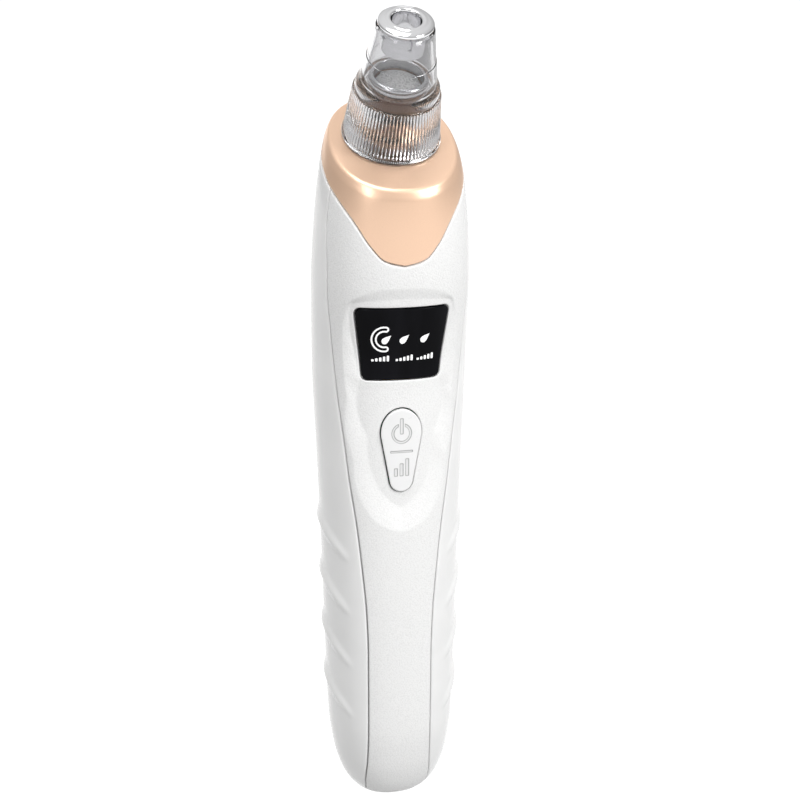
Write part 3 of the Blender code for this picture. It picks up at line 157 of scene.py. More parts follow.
def box_distance(x: np.ndarray, z: np.ndarray, centre: tuple[float, float], half: tuple[float, float],
                 corner: float) -> np.ndarray:
    """Signed distance to a box with rounded corners, negative inside.

    Outside, it is the straight distance to the box shrunk by its corner's radius, less that radius.

    Args:
        x: offsets of the places to measure.
        z: their heights.
        centre: the box's middle.
        half: half its width and half its height.
        corner: radius of its corners.

    Returns:
        The distance at each place.
    """
    dx, dz = np.abs(x - centre[0]) - half[0] + corner, np.abs(z - centre[1]) - half[1] + corner
    return np.hypot(np.maximum(dx, 0), np.maximum(dz, 0)) + np.minimum(np.maximum(dx, dz), 0) - corner


def rounded_profile(corners: tuple[tuple[float, float, float], ...], steps: int = 5) -> np.ndarray:
    """Closed profile with each corner eased by a quadratic curve.

    The curve runs from A to C through the pull of the corner P, (1-t)^2 A + 2t(1-t) P + t^2 C, where A
    and C lie the corner's radius away from P, or half the side's length if that is less.

    Args:
        corners: (radius from the axis, height, size of the rounding) in order.
        steps: points on each rounding.

    Returns:
        (n, 2) array of radius and height.
    """
    table = np.array(corners, float)
    p, size = table[:, :2], table[:, 2]
    back, ahead = np.roll(p, 1, axis=0) - p, np.roll(p, -1, axis=0) - p
    long_back, long_ahead = np.linalg.norm(back, axis=1), np.linalg.norm(ahead, axis=1)
    a = p + back / long_back[:, None] * np.minimum(size, long_back * 0.49)[:, None]
    c = p + ahead / long_ahead[:, None] * np.minimum(size, long_ahead * 0.49)[:, None]
    t = np.linspace(0, 1, steps)[None, :, None]
    curve = (1 - t) ** 2 * a[:, None] + 2 * t * (1 - t) * p[:, None] + t**2 * c[:, None]
    return curve.reshape(-1, 2)


def fine_steps(profile: np.ndarray, most: float) -> np.ndarray:
    """Closed profile with extra points, so that none of its steps is longer than most.

    Args:
        profile: (n, 2) radius and height.
        most: longest step allowed.

    Returns:
        (m, 2) array of radius and height.
    """
    ends = np.roll(profile, -1, axis=0)
    length = np.linalg.norm(ends - profile, axis=1)
    along = np.concatenate([[0], np.cumsum(length)])
    extra = np.concatenate([np.linspace(a, b, max(2, int((b - a) / most) + 2))[:-1]
                            for a, b in zip(along[:-1], along[1:]) if b - a > 1e-6])
    closed = np.concatenate([profile, profile[:1]])
    return np.stack([np.interp(extra, along, closed[:, k]) for k in range(2)], axis=-1)


def full_turn(steps: int) -> np.ndarray:
    """Angles in radians round a full circle, its start not repeated at the end."""
    return np.linspace(0, 2 * math.pi, steps + 1)[:-1]


@dataclass
class Form:
    """A mesh under construction: points in millimetres and four-cornered faces."""

    points: np.ndarray
    faces: np.ndarray

    @staticmethod
    def grid(points: np.ndarray, wrap_rows: bool = False, wrap_columns: bool = False) -> "Form":
        """Faces between neighbouring rows and columns of a (rows, columns, 3) array of points."""
        rows, columns = points.shape[:2]
        r = np.arange(rows if wrap_rows else rows - 1)[:, None]
        c = np.arange(columns if wrap_columns else columns - 1)[None, :]
        r2, c2 = (r + 1) % rows, (c + 1) % columns
        faces = np.stack([r * columns + c, r * columns + c2, r2 * columns + c2, r2 * columns + c], axis=-1)
        return Form(points.reshape(-1, 3), faces.reshape(-1, 4))

    @staticmethod
    def union(*forms: "Form") -> "Form":
        """All forms in one, their points kept apart."""
        starts = np.cumsum([0] + [len(form.points) for form in forms[:-1]])
        return Form(np.concatenate([form.points for form in forms]),
                    np.concatenate([form.faces + start for form, start in zip(forms, starts)]))

    def welded(self, extra: np.ndarray | None = None) -> tuple["Form", np.ndarray | None]:
        """Points in the same place made one, with the matching rows of an extra array."""
        key = np.round(self.points * 1000 + 0.137).astype(np.int64)
        _, first, index = np.unique(key, axis=0, return_index=True, return_inverse=True)
        faces = index.reshape(-1)[self.faces]
        distinct = (np.diff(np.sort(faces, axis=1), axis=1) > 0).sum(axis=1)
        form = Form(self.points[first], faces[distinct >= 2])
        return form, None if extra is None else extra[first]

    def triangles(self) -> np.ndarray:
        """The faces as triangles, those that collapsed at a pole or a weld left out."""
        split = np.concatenate([self.faces[:, [0, 1, 2]], self.faces[:, [0, 2, 3]]])
        whole = (split[:, 0] != split[:, 1]) & (split[:, 1] != split[:, 2]) & (split[:, 0] != split[:, 2])
        return split[whole]

    def outward(self) -> "Form":
        """The same closed form with its faces pointing out, judged by the sign of its volume."""
        a, b, c = (self.points[self.triangles()[:, k]] for k in range(3))
        return self if np.einsum("ij,ij->i", a, np.cross(b, c)).sum() > 0 else Form(
            self.points, self.faces[:, ::-1])

    def thickened(self, inner: np.ndarray) -> "Form":
        """Closed plate between this open sheet and its inner twin.

        Edges that only one face uses are the sheet's rim, and a strip joins each to its twin.

        Args:
            inner: the inner point that belongs to each point of this sheet.

        Returns:
            The closed form, facing out.
        """
        sheet, inner = self.welded(inner)
        n = len(sheet.points)
        ends = np.concatenate([sheet.faces[:, [k, (k + 1) % 4]] for k in range(4)])
        ends = ends[ends[:, 0] != ends[:, 1]]
        key = np.sort(ends, axis=1) @ np.array([n, 1])
        _, index, count = np.unique(key, return_inverse=True, return_counts=True)
        rim = ends[count[index.reshape(-1)] == 1]
        strip = np.stack([rim[:, 1], rim[:, 0], rim[:, 0] + n, rim[:, 1] + n], axis=-1)
        faces = np.concatenate([sheet.faces, sheet.faces[:, ::-1] + n, strip])
        return Form(np.concatenate([sheet.points, inner]), faces).outward()

    def mesh(self, name: str) -> bpy.types.Mesh:
        """The form as a mesh in metres, quads kept whole and collapsed corners made triangles."""
        sides = self.faces != np.roll(self.faces, -1, axis=1)
        whole = sides.all(axis=1)
        corner = self.faces[~whole & (sides.sum(axis=1) == 3)]
        keep = (corner != np.roll(corner, -1, axis=1))
        mesh = bpy.data.meshes.new(name)
        faces = self.faces[whole].tolist() + corner[keep].reshape(-1, 3).tolist()
        mesh.from_pydata((self.points * MM).tolist(), [], faces)
        mesh.shade_smooth()
        return mesh


def add_piece(name: str, form: Form, finish: "Finish", body: Body, stands_for: tuple[str, ...] = (),
              crease: float = 42.0, marks: np.ndarray | None = None) -> bpy.types.Object:
    """Make a finished piece of the device and hang it on its body.

    Args:
        name: the piece's name.
        form: its closed shape.
        finish: the material it gets.
        body: the body it moves with.
        stands_for: frame nodes it replaces.
        crease: angle in degrees past which an edge is shaded sharp.
        marks: one value a point, kept as the attribute "marks"; on the button cap it holds how much painted
            groove shade the point gets.

    Returns:
        The piece's object.
    """
    mesh = form.mesh(name)
    if marks is not None:
        attribute = mesh.attributes.new("marks", "FLOAT", "POINT")
        attribute.data.foreach_set("value", marks.astype(np.float32))
    mesh.set_sharp_from_angle(angle=math.radians(crease))
    piece = bpy.data.objects.new(name, mesh)
    bpy.context.collection.objects.link(piece)
    mesh.materials.append(finish.material())
    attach(piece, body.value)
    if stands_for:
        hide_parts(*stands_for)
    LOG.info("%s: %d faces on %s", name, len(mesh.polygons), body.value)
    return piece


# ============================================================ finishes
class ShaderBoard:
    """One material's node tree, with the few textures the finishes share."""

    def __init__(self, name: str) -> None:
        """Start a material of this name that reads Object coordinates."""
        self.material = bpy.data.materials.new(name)
        self.material.use_nodes = True
        self.nodes, self.links = self.material.node_tree.nodes, self.material.node_tree.links
        self.shader = self.nodes["Principled BSDF"]
        self.place = self.nodes.new("ShaderNodeTexCoord").outputs["Object"]

    def set(self, **values: object) -> None:
        """Set the shader's own sockets; an underscore stands for a space."""
        for key, value in values.items():
            socket = self.shader.inputs[key.replace("_", " ")]
            socket.default_value = (*value, 1.0) if isinstance(value, tuple) and len(value) == 3 else value

    def feed(self, socket: str, source: bpy.types.NodeSocket) -> None:
        """Link a texture to one of the shader's sockets."""
        self.links.new(source, self.shader.inputs[socket])

    def stretched(self, stretch: Colour) -> bpy.types.NodeSocket:
        """Object coordinates scaled along each axis, for a pattern that runs one way."""
        node = self.nodes.new("ShaderNodeMapping")
        node.inputs["Scale"].default_value = stretch
        self.links.new(self.place, node.inputs["Vector"])
        return node.outputs["Vector"]

    def noise(self, size: float, detail: float = 2.0, stretch: Colour = (1, 1, 1)) -> bpy.types.NodeSocket:
        """Cloudy noise whose patches are about size millimetres across."""
        node = self.nodes.new("ShaderNodeTexNoise")
        node.inputs["Scale"].default_value = 1 / (size * MM)
        node.inputs["Detail"].default_value = detail
        self.links.new(self.stretched(stretch), node.inputs["Vector"])
        return node.outputs["Fac"]

    def cells(self, size: float, edges: bool = False) -> bpy.types.NodeSocket:
        """Distance pattern of packed cells about size millimetres across."""
        node = self.nodes.new("ShaderNodeTexVoronoi")
        node.feature = "DISTANCE_TO_EDGE" if edges else "SMOOTH_F1"
        node.inputs["Scale"].default_value = 1 / (size * MM)
        self.links.new(self.place, node.inputs["Vector"])
        return node.outputs["Distance"]

    def bands(self, size: float, axis: str = "Z", wander: float = 0.0) -> bpy.types.NodeSocket:
        """Even bands across one axis, size millimetres from one to the next."""
        node = self.nodes.new("ShaderNodeTexWave")
        node.bands_direction = axis
        node.inputs["Scale"].default_value = math.pi / 10 / (size * MM)
        node.inputs["Distortion"].default_value = wander
        self.links.new(self.place, node.inputs["Vector"])
        return node.outputs["Fac"]

    def attribute(self, name: str) -> bpy.types.NodeSocket:
        """A value stored on the piece's own points."""
        node = self.nodes.new("ShaderNodeAttribute")
        node.attribute_name = name
        return node.outputs["Fac"]

    def range(self, source: bpy.types.NodeSocket, low: float, high: float, start: float = 0.0,
              end: float = 1.0) -> bpy.types.NodeSocket:
        """Spread start..end of a texture over low..high."""
        node = self.nodes.new("ShaderNodeMapRange")
        for key, value in (("From Min", start), ("From Max", end), ("To Min", low), ("To Max", high)):
            node.inputs[key].default_value = value
        self.links.new(source, node.inputs["Value"])
        return node.outputs["Result"]

    def tint(self, source: bpy.types.NodeSocket, stops: tuple[tuple[float, Colour], ...]
             ) -> bpy.types.NodeSocket:
        """Turn a texture into colours along a ramp of (position, colour) stops."""
        node = self.nodes.new("ShaderNodeValToRGB")
        ramp = node.color_ramp
        while len(ramp.elements) < len(stops):
            ramp.elements.new(0.5)
        for element, (position, colour) in zip(ramp.elements, stops):
            element.position, element.color = position, (*colour, 1.0)
        self.links.new(source, node.inputs["Fac"])
        return node.outputs["Color"]

    def relief(self, *layers: tuple[bpy.types.NodeSocket, float]) -> None:
        """Stack bump layers, each a texture and its height in millimetres."""
        normal = None
        for height, depth in layers:
            node = self.nodes.new("ShaderNodeBump")
            node.inputs["Distance"].default_value = depth * MM
            self.links.new(height, node.inputs["Height"])
            if normal:
                self.links.new(normal, node.inputs["Normal"])
            normal = node.outputs["Normal"]
        self.feed("Normal", normal)


@dataclass(frozen=True)
class Finish:
    """A surface finish; material() makes it once and gives the same one again."""

    name: str

    def material(self) -> bpy.types.Material:
        """The finish as a material."""
        return bpy.data.materials.get(self.name) or self.paint(ShaderBoard(self.name))

    def paint(self, board: ShaderBoard) -> bpy.types.Material:
        """Lay the finish on a fresh board."""
        raise NotImplementedError


@dataclass(frozen=True)
class MouldedPlastic(Finish):
    """Injection-moulded plastic: faint tone drift, fine flow texture and uneven gloss."""

    colour: Colour = (0.8, 0.8, 0.8)
    roughness: float = 0.3
    texture: float = 0.002
    coat: float = 0.0
    drift: float = 0.03

    def paint(self, board: ShaderBoard) -> bpy.types.Material:
        """Tone drifts in 9 mm clouds, gloss in 2 mm ones, and a 0.12 mm grain makes the relief."""
        low = tuple(c * (1 - self.drift) for c in self.colour)
        high = tuple(min(1.0, c * (1 + self.drift / 2)) for c in self.colour)
        board.feed("Base Color", board.tint(board.noise(9.0), ((0.3, low), (0.7, high))))
        rough = self.roughness
        board.feed("Roughness", board.range(board.noise(2.0, 4.0), rough * 0.88, rough * 1.12, 0.3, 0.7))
        board.relief((board.noise(0.12, 3.0), self.texture), (board.noise(14.0), self.texture * 6))
        board.set(IOR=1.5, Coat_Weight=self.coat, Coat_Roughness=0.08)
        return board.material


@dataclass(frozen=True)
class GrainedPlastic(Finish):
    """Matte plastic with a fine pebbled leather grain."""

    colour: Colour = (0.8, 0.8, 0.8)
    roughness: float = 0.5
    pebble: float = 0.55
    depth: float = 0.035

    def paint(self, board: ShaderBoard) -> bpy.types.Material:
        """Packed pebbles with worm-like creases between them, and a fine tooth over all; the creases get a
        darker colour, painted shade where the grain sinks.
        """
        pebbles = board.cells(self.pebble)
        creases = board.noise(self.pebble * 0.9, 2.0)
        # painted shade: the low creases of the grain are coloured darker
        low = tuple(c * 0.93 for c in self.colour)
        board.feed("Base Color", board.tint(creases, ((0.36, low), (0.54, self.colour))))
        board.feed("Roughness", board.range(creases, self.roughness * 1.1, self.roughness * 0.9, 0.3, 0.7))
        board.relief((pebbles, -self.depth * 0.5), (creases, self.depth), (board.noise(0.15, 2.0), 0.004))
        board.set(IOR=1.48)
        return board.material


@dataclass(frozen=True)
class GrooveShadePaintedPlastic(MouldedPlastic):
    """Satin plastic with painted shade in its engraved grooves, read from the piece's marks."""

    # dark colour of the painted shade along and inside the engraved grooves
    line: Colour = (0.2, 0.2, 0.2)

    def paint(self, board: ShaderBoard) -> bpy.types.Material:
        """The moulded finish with painted shade: its colour is pulled towards the line colour where the marks
        rise.
        """
        material = super().paint(board)
        base = board.shader.inputs["Base Color"].links[0].from_socket
        # painted shade: mix towards the line colour by the marks attribute
        mix = board.nodes.new("ShaderNodeMix")
        mix.data_type = "RGBA"
        board.links.new(board.attribute("marks"), mix.inputs["Factor"])
        board.links.new(base, mix.inputs["A"])
        mix.inputs["B"].default_value = (*self.line, 1.0)
        board.feed("Base Color", mix.outputs["Result"])
        return material


@dataclass(frozen=True)
class SatinMetal(Finish):
    """Bead-blasted, anodised metal coating with a soft sheen."""

    colour: Colour = (0.8, 0.6, 0.45)
    roughness: float = 0.3
    metallic: float = 1.0
    sparkle: float = 0.0015
    coat: float = 0.0

    def paint(self, board: ShaderBoard) -> bpy.types.Material:
        """Flake-sized tone changes of 0.08 mm, slow colour drift and a fine blasted relief."""
        flake = board.noise(0.08, 2.0)
        low = tuple(c * 0.93 for c in self.colour)
        board.feed("Base Color", board.tint(flake, ((0.3, low), (0.65, self.colour))))
        board.feed("Roughness", board.range(board.noise(5.0, 3.0), self.roughness * 0.92,
                                            self.roughness * 1.08, 0.3, 0.7))
        board.relief((flake, self.sparkle))
        board.set(Metallic=self.metallic, IOR=1.5, Coat_Weight=self.coat, Coat_Roughness=0.12)
        return board.material


@dataclass(frozen=True)
class ClearPlastic(Finish):
    """Clear moulded plastic."""

    colour: Colour = (0.97, 0.97, 0.98)
    roughness: float = 0.02
    ior: float = 1.49

    def paint(self, board: ShaderBoard) -> bpy.types.Material:
        """Light passes through; slow flow marks bend it a little and fine wear dulls it in places."""
        board.feed("Roughness", board.range(board.noise(3.0, 4.0), self.roughness * 0.5,
                                            self.roughness * 1.8, 0.35, 0.75))
        board.relief((board.noise(6.0, 1.0, (1, 1, 0.3)), 0.02))
        board.set(Base_Color=self.colour, Transmission_Weight=1.0, IOR=self.ior)
        return board.material


@dataclass(frozen=True)
class PolishedMetal(Finish):
    """Polished plate with hairline wear."""

    colour: Colour = (0.8, 0.8, 0.81)
    roughness: float = 0.05

    def paint(self, board: ShaderBoard) -> bpy.types.Material:
        """Hairlines from stretched noise, and gloss that varies in 1.5 mm clouds."""
        board.feed("Roughness", board.range(board.noise(1.5, 4.0), self.roughness * 0.7,
                                            self.roughness * 1.5, 0.3, 0.7))
        hairline = board.noise(0.25, 1.0, (1, 1, 14))
        low = tuple(c * 0.94 for c in self.colour)
        board.feed("Base Color", board.tint(board.noise(4.0), ((0.3, low), (0.7, self.colour))))
        board.relief((hairline, 0.0006))
        board.set(Metallic=1.0)
        return board.material


@dataclass(frozen=True)
class BrushedMetal(Finish):
    """Turned or drawn steel with lines along one axis."""

    colour: Colour = (0.6, 0.6, 0.62)
    roughness: float = 0.28
    stretch: Colour = (1, 1, 0.05)

    def paint(self, board: ShaderBoard) -> bpy.types.Material:
        """Noise drawn out along the lines sets tone, gloss and relief together."""
        lines = board.noise(0.15, 3.0, self.stretch)
        low = tuple(c * 0.8 for c in self.colour)
        board.feed("Base Color", board.tint(lines, ((0.3, low), (0.7, self.colour))))
        board.feed("Roughness", board.range(lines, self.roughness * 1.25, self.roughness * 0.8, 0.3, 0.7))
        board.relief((lines, 0.003))
        board.set(Metallic=1.0)
        return board.material


@dataclass(frozen=True)
class Rubber(Finish):
    """Soft elastomer, dusty and dull."""

    colour: Colour = (0.02, 0.02, 0.02)
    roughness: float = 0.6
    clear: float = 0.0

    def paint(self, board: ShaderBoard) -> bpy.types.Material:
        """Pale bloom in 1.2 mm clouds over a fine sandy relief."""
        bloom = tuple(c * 1.3 + 0.008 for c in self.colour)
        board.feed("Base Color", board.tint(board.noise(1.2, 4.0), ((0.4, self.colour), (0.8, bloom))))
        board.feed("Roughness", board.range(board.noise(0.6, 3.0), self.roughness * 0.85,
                                            self.roughness * 1.15, 0.3, 0.7))
        board.relief((board.noise(0.09, 2.0), 0.005))
        board.set(IOR=1.42, Transmission_Weight=self.clear)
        return board.material


@dataclass(frozen=True)
class OpenFoam(Finish):
    """Open-cell foam."""

    colour: Colour = (0.8, 0.8, 0.78)
    cell: float = 0.35

    def paint(self, board: ShaderBoard) -> bpy.types.Material:
        """Painted shade in the pores where the cells are hollow, and deep relief along the cell walls."""
        walls = board.cells(self.cell)
        # painted shade: the hollow middles of the cells are coloured darker
        painted_pore_shade = tuple(c * 0.55 for c in self.colour)
        board.feed("Base Color", board.tint(walls, ((0.15, painted_pore_shade), (0.5, self.colour))))
        board.relief((walls, 0.15), (board.noise(0.12, 3.0), 0.03))
        board.set(Roughness=0.95, Sheen_Weight=0.2)
        return board.material


@dataclass(frozen=True)
class CircuitBoard(Finish):
    """Solder mask over copper tracks."""

    mask: Colour = (0.012, 0.13, 0.06)
    track: Colour = (0.03, 0.24, 0.11)

    def paint(self, board: ShaderBoard) -> bpy.types.Material:
        """Tracks are bands 1.3 mm apart that wander; they stand 0.03 mm proud under the mask."""
        tracks = board.bands(1.3, "X", 3.0)
        board.feed("Base Color", board.tint(tracks, ((0.45, self.mask), (0.55, self.track))))
        board.feed("Roughness", board.range(board.noise(0.8, 3.0), 0.28, 0.45, 0.3, 0.7))
        board.relief((tracks, 0.03), (board.noise(0.2), 0.004))
        board.set(Coat_Weight=0.4, Coat_Roughness=0.2)
        return board.material


@dataclass(frozen=True)
class ShrinkSleeve(Finish):
    """Printed shrink sleeve of a cell, with faint wrinkles and a pale band."""

    colour: Colour = (0.03, 0.2, 0.42)
    band: Colour = (0.75, 0.77, 0.8)

    def paint(self, board: ShaderBoard) -> bpy.types.Material:
        """One narrow pale band every 24 mm, and wrinkles that run round the cell."""
        rings = board.bands(24.0)
        board.feed("Base Color", board.tint(rings, ((0.93, self.colour), (0.95, self.band))))
        board.feed("Roughness", board.range(board.noise(2.0, 3.0), 0.22, 0.36, 0.3, 0.7))
        board.relief((board.noise(3.0, 3.0, (0.4, 0.4, 1.6)), 0.05))
        return board.material


@dataclass(frozen=True)
class GlossWindow(Finish):
    """Deep black glossy window."""

    colour: Colour = (0.003, 0.003, 0.004)
    roughness: float = 0.09

    def paint(self, board: ShaderBoard) -> bpy.types.Material:
        """Near-black tone with faint smoky clouds, polished smooth with slight wiping marks."""
        smoke = tuple(c * 2.2 for c in self.colour)
        board.feed("Base Color", board.tint(board.noise(5.0, 2.0, (1, 1, 0.2)),
                                            ((0.4, self.colour), (0.75, smoke))))
        board.feed("Roughness", board.range(board.noise(2.5, 5.0), self.roughness * 0.8,
                                            self.roughness * 1.3, 0.3, 0.7))
        board.relief((board.noise(10.0), 0.01))
        board.set(IOR=1.45, Specular_IOR_Level=0.06)
        return board.material


@dataclass(frozen=True)
class LitInk(Finish):
    """Lit, printed symbol or a lamp's lens."""

    colour: Colour = (0.95, 0.95, 0.95)
    glow: float = 0.25

    def paint(self, board: ShaderBoard) -> bpy.types.Material:
        """Print speckle of 0.1 mm over an even glow."""
        low = tuple(c * 0.9 for c in self.colour)
        board.feed("Base Color", board.tint(board.noise(0.1, 2.0), ((0.35, low), (0.6, self.colour))))
        board.feed("Roughness", board.range(board.noise(0.3, 2.0), 0.35, 0.55, 0.3, 0.7))
        board.relief((board.noise(0.1, 2.0), 0.002))
        board.set(Emission_Color=self.colour, Emission_Strength=self.glow)
        return board.material


@dataclass(frozen=True)
class PaleGround(Finish):
    """Evenly lit pale ground that throws back little of the lamps' light."""

    glow: float = 1.06
    albedo: float = 0.12

    def paint(self, board: ShaderBoard) -> bpy.types.Material:
        """Even glow over a dull surface with the faintest paper texture."""
        low, high = (self.albedo * 0.98,) * 3, (self.albedo,) * 3
        board.feed("Base Color", board.tint(board.noise(1.0), ((0.3, low), (0.7, high))))
        board.set(Roughness=1.0, Specular_IOR_Level=0.0, Emission_Color=(1.0, 1.0, 1.0),
                  Emission_Strength=self.glow)
        return board.material


# ============================================================ the handle's surface
@dataclass(frozen=True)
class HandleShape:
    """The handle's outside: a bent, slightly squared tube from foot to collar."""

    length: float = 151.5
    head_start: float = 100.0
    head_tilt: float = math.radians(33.7)
    head_shift: float = -4.7
    power: float = 2.2
    wall: float = 1.8
    gap: float = 0.3
    most_lean: float = 14.0
    halvings: int = 40
    widths: Stations = (
        (0, 5.6), (0.8, 7.4), (2.6, 9.5), (6, 11.6), (12, 13.35), (21, 14.4), (43, 15), (63, 15.4),
        (84, 16), (105, 16.65), (122, 16.7), (136, 15.95), (145, 14.85), (149.5, 13.85), (151.5, 12.95))
    depths: Stations = (
        (0, 5), (0.8, 6.7), (2.6, 8.7), (6, 10.6), (12, 12.2), (21, 13.2), (43, 13.6), (63, 13.9),
        (84, 14.4), (105, 15), (122, 15.4), (136, 15.8), (145, 16), (149.5, 15.9), (151.5, 15.3))
    seam: Stations = (
        (1.5, 6.8), (7, 7.4), (13, 7.2), (20, 7.1), (40, 7.1), (50, 7.4), (60, 8.2), (70.7, 9.3),
        (81, 10.7), (90, 11.7), (101, 13), (115, 14.1), (124, 14.65), (136, 14.65), (145.7, 13.8),
        (151.5, 12.2))
    collar_drops: Stations = (
        (0, 16.7), (13, 15.5), (24, 12.4), (37, 8.5), (48, 6.6), (63, 5.3), (90, 4.5), (180, 4.5))

    def skin(self, h: np.ndarray, angle: np.ndarray, inset: np.ndarray | float = 0.0) -> np.ndarray:
        """Points of the surface, sunk by inset.

        A section is |x/a|^p + |y/b|^p = 1 with p the section's power; x goes with sin(angle)^(2/p) and
        y with cos(angle)^(2/p). Above the head's start the sections lean and slide towards the front.

        Args:
            h: stations along the handle.
            angle: degrees from the front towards +X.
            inset: depth below the surface.

        Returns:
            (..., 3) points in millimetres.
        """
        h, angle, inset = np.broadcast_arrays(h, angle, inset)
        bend = ease((h - self.head_start) / (self.length - self.head_start))
        tilt, u = self.head_tilt * bend, np.radians(angle)
        sine, cosine = np.sin(u), np.cos(u)
        across = (smooth_curve(self.widths, h) - inset) * np.sign(sine) * np.abs(sine) ** (2 / self.power)
        ahead = (smooth_curve(self.depths, h) - inset) * np.sign(cosine) * np.abs(cosine) ** (2 / self.power)
        return np.stack([across, self.head_shift * bend - ahead * np.cos(tilt), h - ahead * np.sin(tilt)],
                        axis=-1)

    def seam_angle(self, h: np.ndarray, grow: np.ndarray | float = 0.0) -> np.ndarray:
        """Angle of the front panel's seam at each station.

        The seam lies where x is its share of the section's half width: arcsin(share^(p/2)).

        Args:
            h: stations along the handle.
            grow: distance to move along the skin, away from the front.

        Returns:
            The angle in degrees at each station.
        """
        share = smooth_curve(self.seam, h) / smooth_curve(self.widths, h)
        angle = np.degrees(np.arcsin(share ** (self.power / 2)))
        bend = ease((h - self.head_start) / (self.length - self.head_start))
        point = self.skin(h, angle)
        reach = np.hypot(point[..., 0], point[..., 1] - self.head_shift * bend)
        return angle + np.degrees(grow / reach)

    def collar_line(self, angle: np.ndarray, lowered: float = 0.0) -> np.ndarray:
        """Station of the collar's lower edge at each angle."""
        away = np.abs((angle + 180) % 360 - 180)
        return self.length - lowered - smooth_curve(self.collar_drops, away)

    def locate(self, x: np.ndarray, z: np.ndarray) -> tuple[np.ndarray, np.ndarray]:
        """Station and angle of the front surface's points at offset x and height z.

        The height rises with the station, so the span that holds it is halved until it is found.

        Args:
            x: offsets from the middle.
            z: heights above the foot.

        Returns:
            The stations, and the angles in degrees.
        """
        low, high = z + 0.0, z + self.most_lean
        angle = np.zeros_like(x)
        for _ in range(self.halvings):
            h = (low + high) / 2
            share = np.clip(np.abs(x) / smooth_curve(self.widths, h), 0, 0.99999)
            angle = np.degrees(np.arcsin(share ** (self.power / 2)))
            below = self.skin(h, angle)[..., 2] < z
            low, high = np.where(below, h, low), np.where(below, high, h)
        return (low + high) / 2, angle * np.sign(x)


@dataclass(frozen=True)
class ThumbRecess:
    """Shallow recess round the display and the button, with a soft slope at its edge."""

    depth: float = 1.0
    centre_z: float = 97.0
    top_fade: float = 0.65
    fade_start: float = 106.0
    fade_length: float = 14.0
    outer: Stations = ((0, 69.8), (4.8, 71.7), (7.5, 75), (9.5, 80), (10.1, 87), (11.2, 99), (11.7, 105),
                       (12.0, 112), (11.8, 117), (10.2, 121), (6.0, 123), (0, 123.4))
    inner: Stations = ((0, 75), (4.7, 79), (6.6, 83.5), (7.8, 92), (9.0, 103), (10.0, 109), (10.8, 114),
                       (10.9, 118), (10.2, 120.2), (6.0, 120.8), (0, 121))

    def edge(self, line: Stations, turn: np.ndarray) -> np.ndarray:
        """Distance from the centre to an edge line in each direction, from straight down to straight up.

        Args:
            line: (x, z) points of the line, from the bottom to the top.
            turn: directions in degrees from +x towards +z.

        Returns:
            The distance in each direction.
        """
        x, z = np.array(line, float).T
        directions = np.degrees(np.arctan2(z - self.centre_z, x))
        return smooth_curve(tuple(zip(directions, np.hypot(x, z - self.centre_z))), turn)

    def sink(self, x: np.ndarray, z: np.ndarray) -> np.ndarray:
        """Depth below the surface, shallower at the top.

        Between the outer and the inner edge it falls along 0.85 s + 0.15 ease(s), where s is the share of
        the way across the slope.

        Args:
            x: offsets from the middle.
            z: heights above the foot.

        Returns:
            The depth at each place.
        """
        turn = np.degrees(np.arctan2(z - self.centre_z, np.abs(x)))
        far = np.hypot(x, z - self.centre_z)
        outer, inner = self.edge(self.outer, turn), self.edge(self.inner, turn)
        fade = 1 - self.top_fade * ease((z - self.fade_start) / self.fade_length)
        slope = np.clip((outer - far) / (outer - inner), 0, 1)
        return self.depth * fade * (0.85 * slope + 0.15 * ease(slope))


@dataclass
class SuctionSeat:
    """The leaning axis on which nozzle and tip are turned."""

    shift: float = 1.81

    def place(self) -> tuple[np.ndarray, np.ndarray, np.ndarray]:
        """Middle of the seat on the collar's face, the forward direction in that face, and the axis."""
        tilt = SHAPE.head_tilt
        forward = np.array([0, -math.cos(tilt), -math.sin(tilt)])
        axis = np.array([0, -math.sin(tilt), math.cos(tilt)])
        return np.array([0, SHAPE.head_shift, SHAPE.length]) - forward * self.shift, forward, axis

    def turned(self, profile: np.ndarray, columns: int, ribs: np.ndarray | float = 0.0) -> Form:
        """Closed profile (radius, height) turned about the leaning axis.

        Args:
            profile: (n, 2) radius and height above the collar's face, in closed order.
            columns: steps round the axis.
            ribs: amount added to the radius at each point, (n, columns) or one number.

        Returns:
            The closed form.
        """
        origin, forward, axis = self.place()
        u = full_turn(columns)
        radius = np.maximum(profile[:, :1] + ribs + 0 * u, 0)
        points = (origin + axis * profile[:, 1][:, None, None]
                  + radius[..., None] * (np.sin(u)[:, None] * np.array([1.0, 0, 0])
                                         + np.cos(u)[:, None] * forward))
        return Form.grid(points, True, True).welded()[0].outward()


SHAPE = HandleShape()
RECESS = ThumbRecess()
SEAT = SuctionSeat()
WHITE_SHELL = MouldedPlastic("white_shell", (0.83, 0.83, 0.825), 0.2, 0.0012, 0.3)
WHITE_PANEL = GrainedPlastic("white_grained_panel", (0.84, 0.84, 0.835), 0.45, 0.34, 0.05)
# button finish with painted shade in its engraved grooves
WHITE_BUTTON = GrooveShadePaintedPlastic("white_button_painted_groove_shade", (0.84, 0.84, 0.84), 0.3, 0.001)
ROSE_GOLD = SatinMetal("satin_rose_gold", (0.86, 0.59, 0.42), 0.3, 0.5)
CLEAR_TIP = ClearPlastic("clear_tip", (0.7, 0.7, 0.71))
CHROME = PolishedMetal("tip_chrome", (0.56, 0.56, 0.57))
NOZZLE_BROWN = SatinMetal("brown_plated_nozzle", (0.4, 0.27, 0.21), 0.28, 0.6)
RIM_METAL = SatinMetal("pale_rim_metal", (0.78, 0.78, 0.79), 0.22)
O_RING = Rubber("o_ring_rubber", (0.015, 0.013, 0.012), 0.5)
SPONGE = OpenFoam("filter_sponge_foam", (0.82, 0.82, 0.81))
WINDOW = GlossWindow("display_window_black")
INK = LitInk("lit_display_ink")


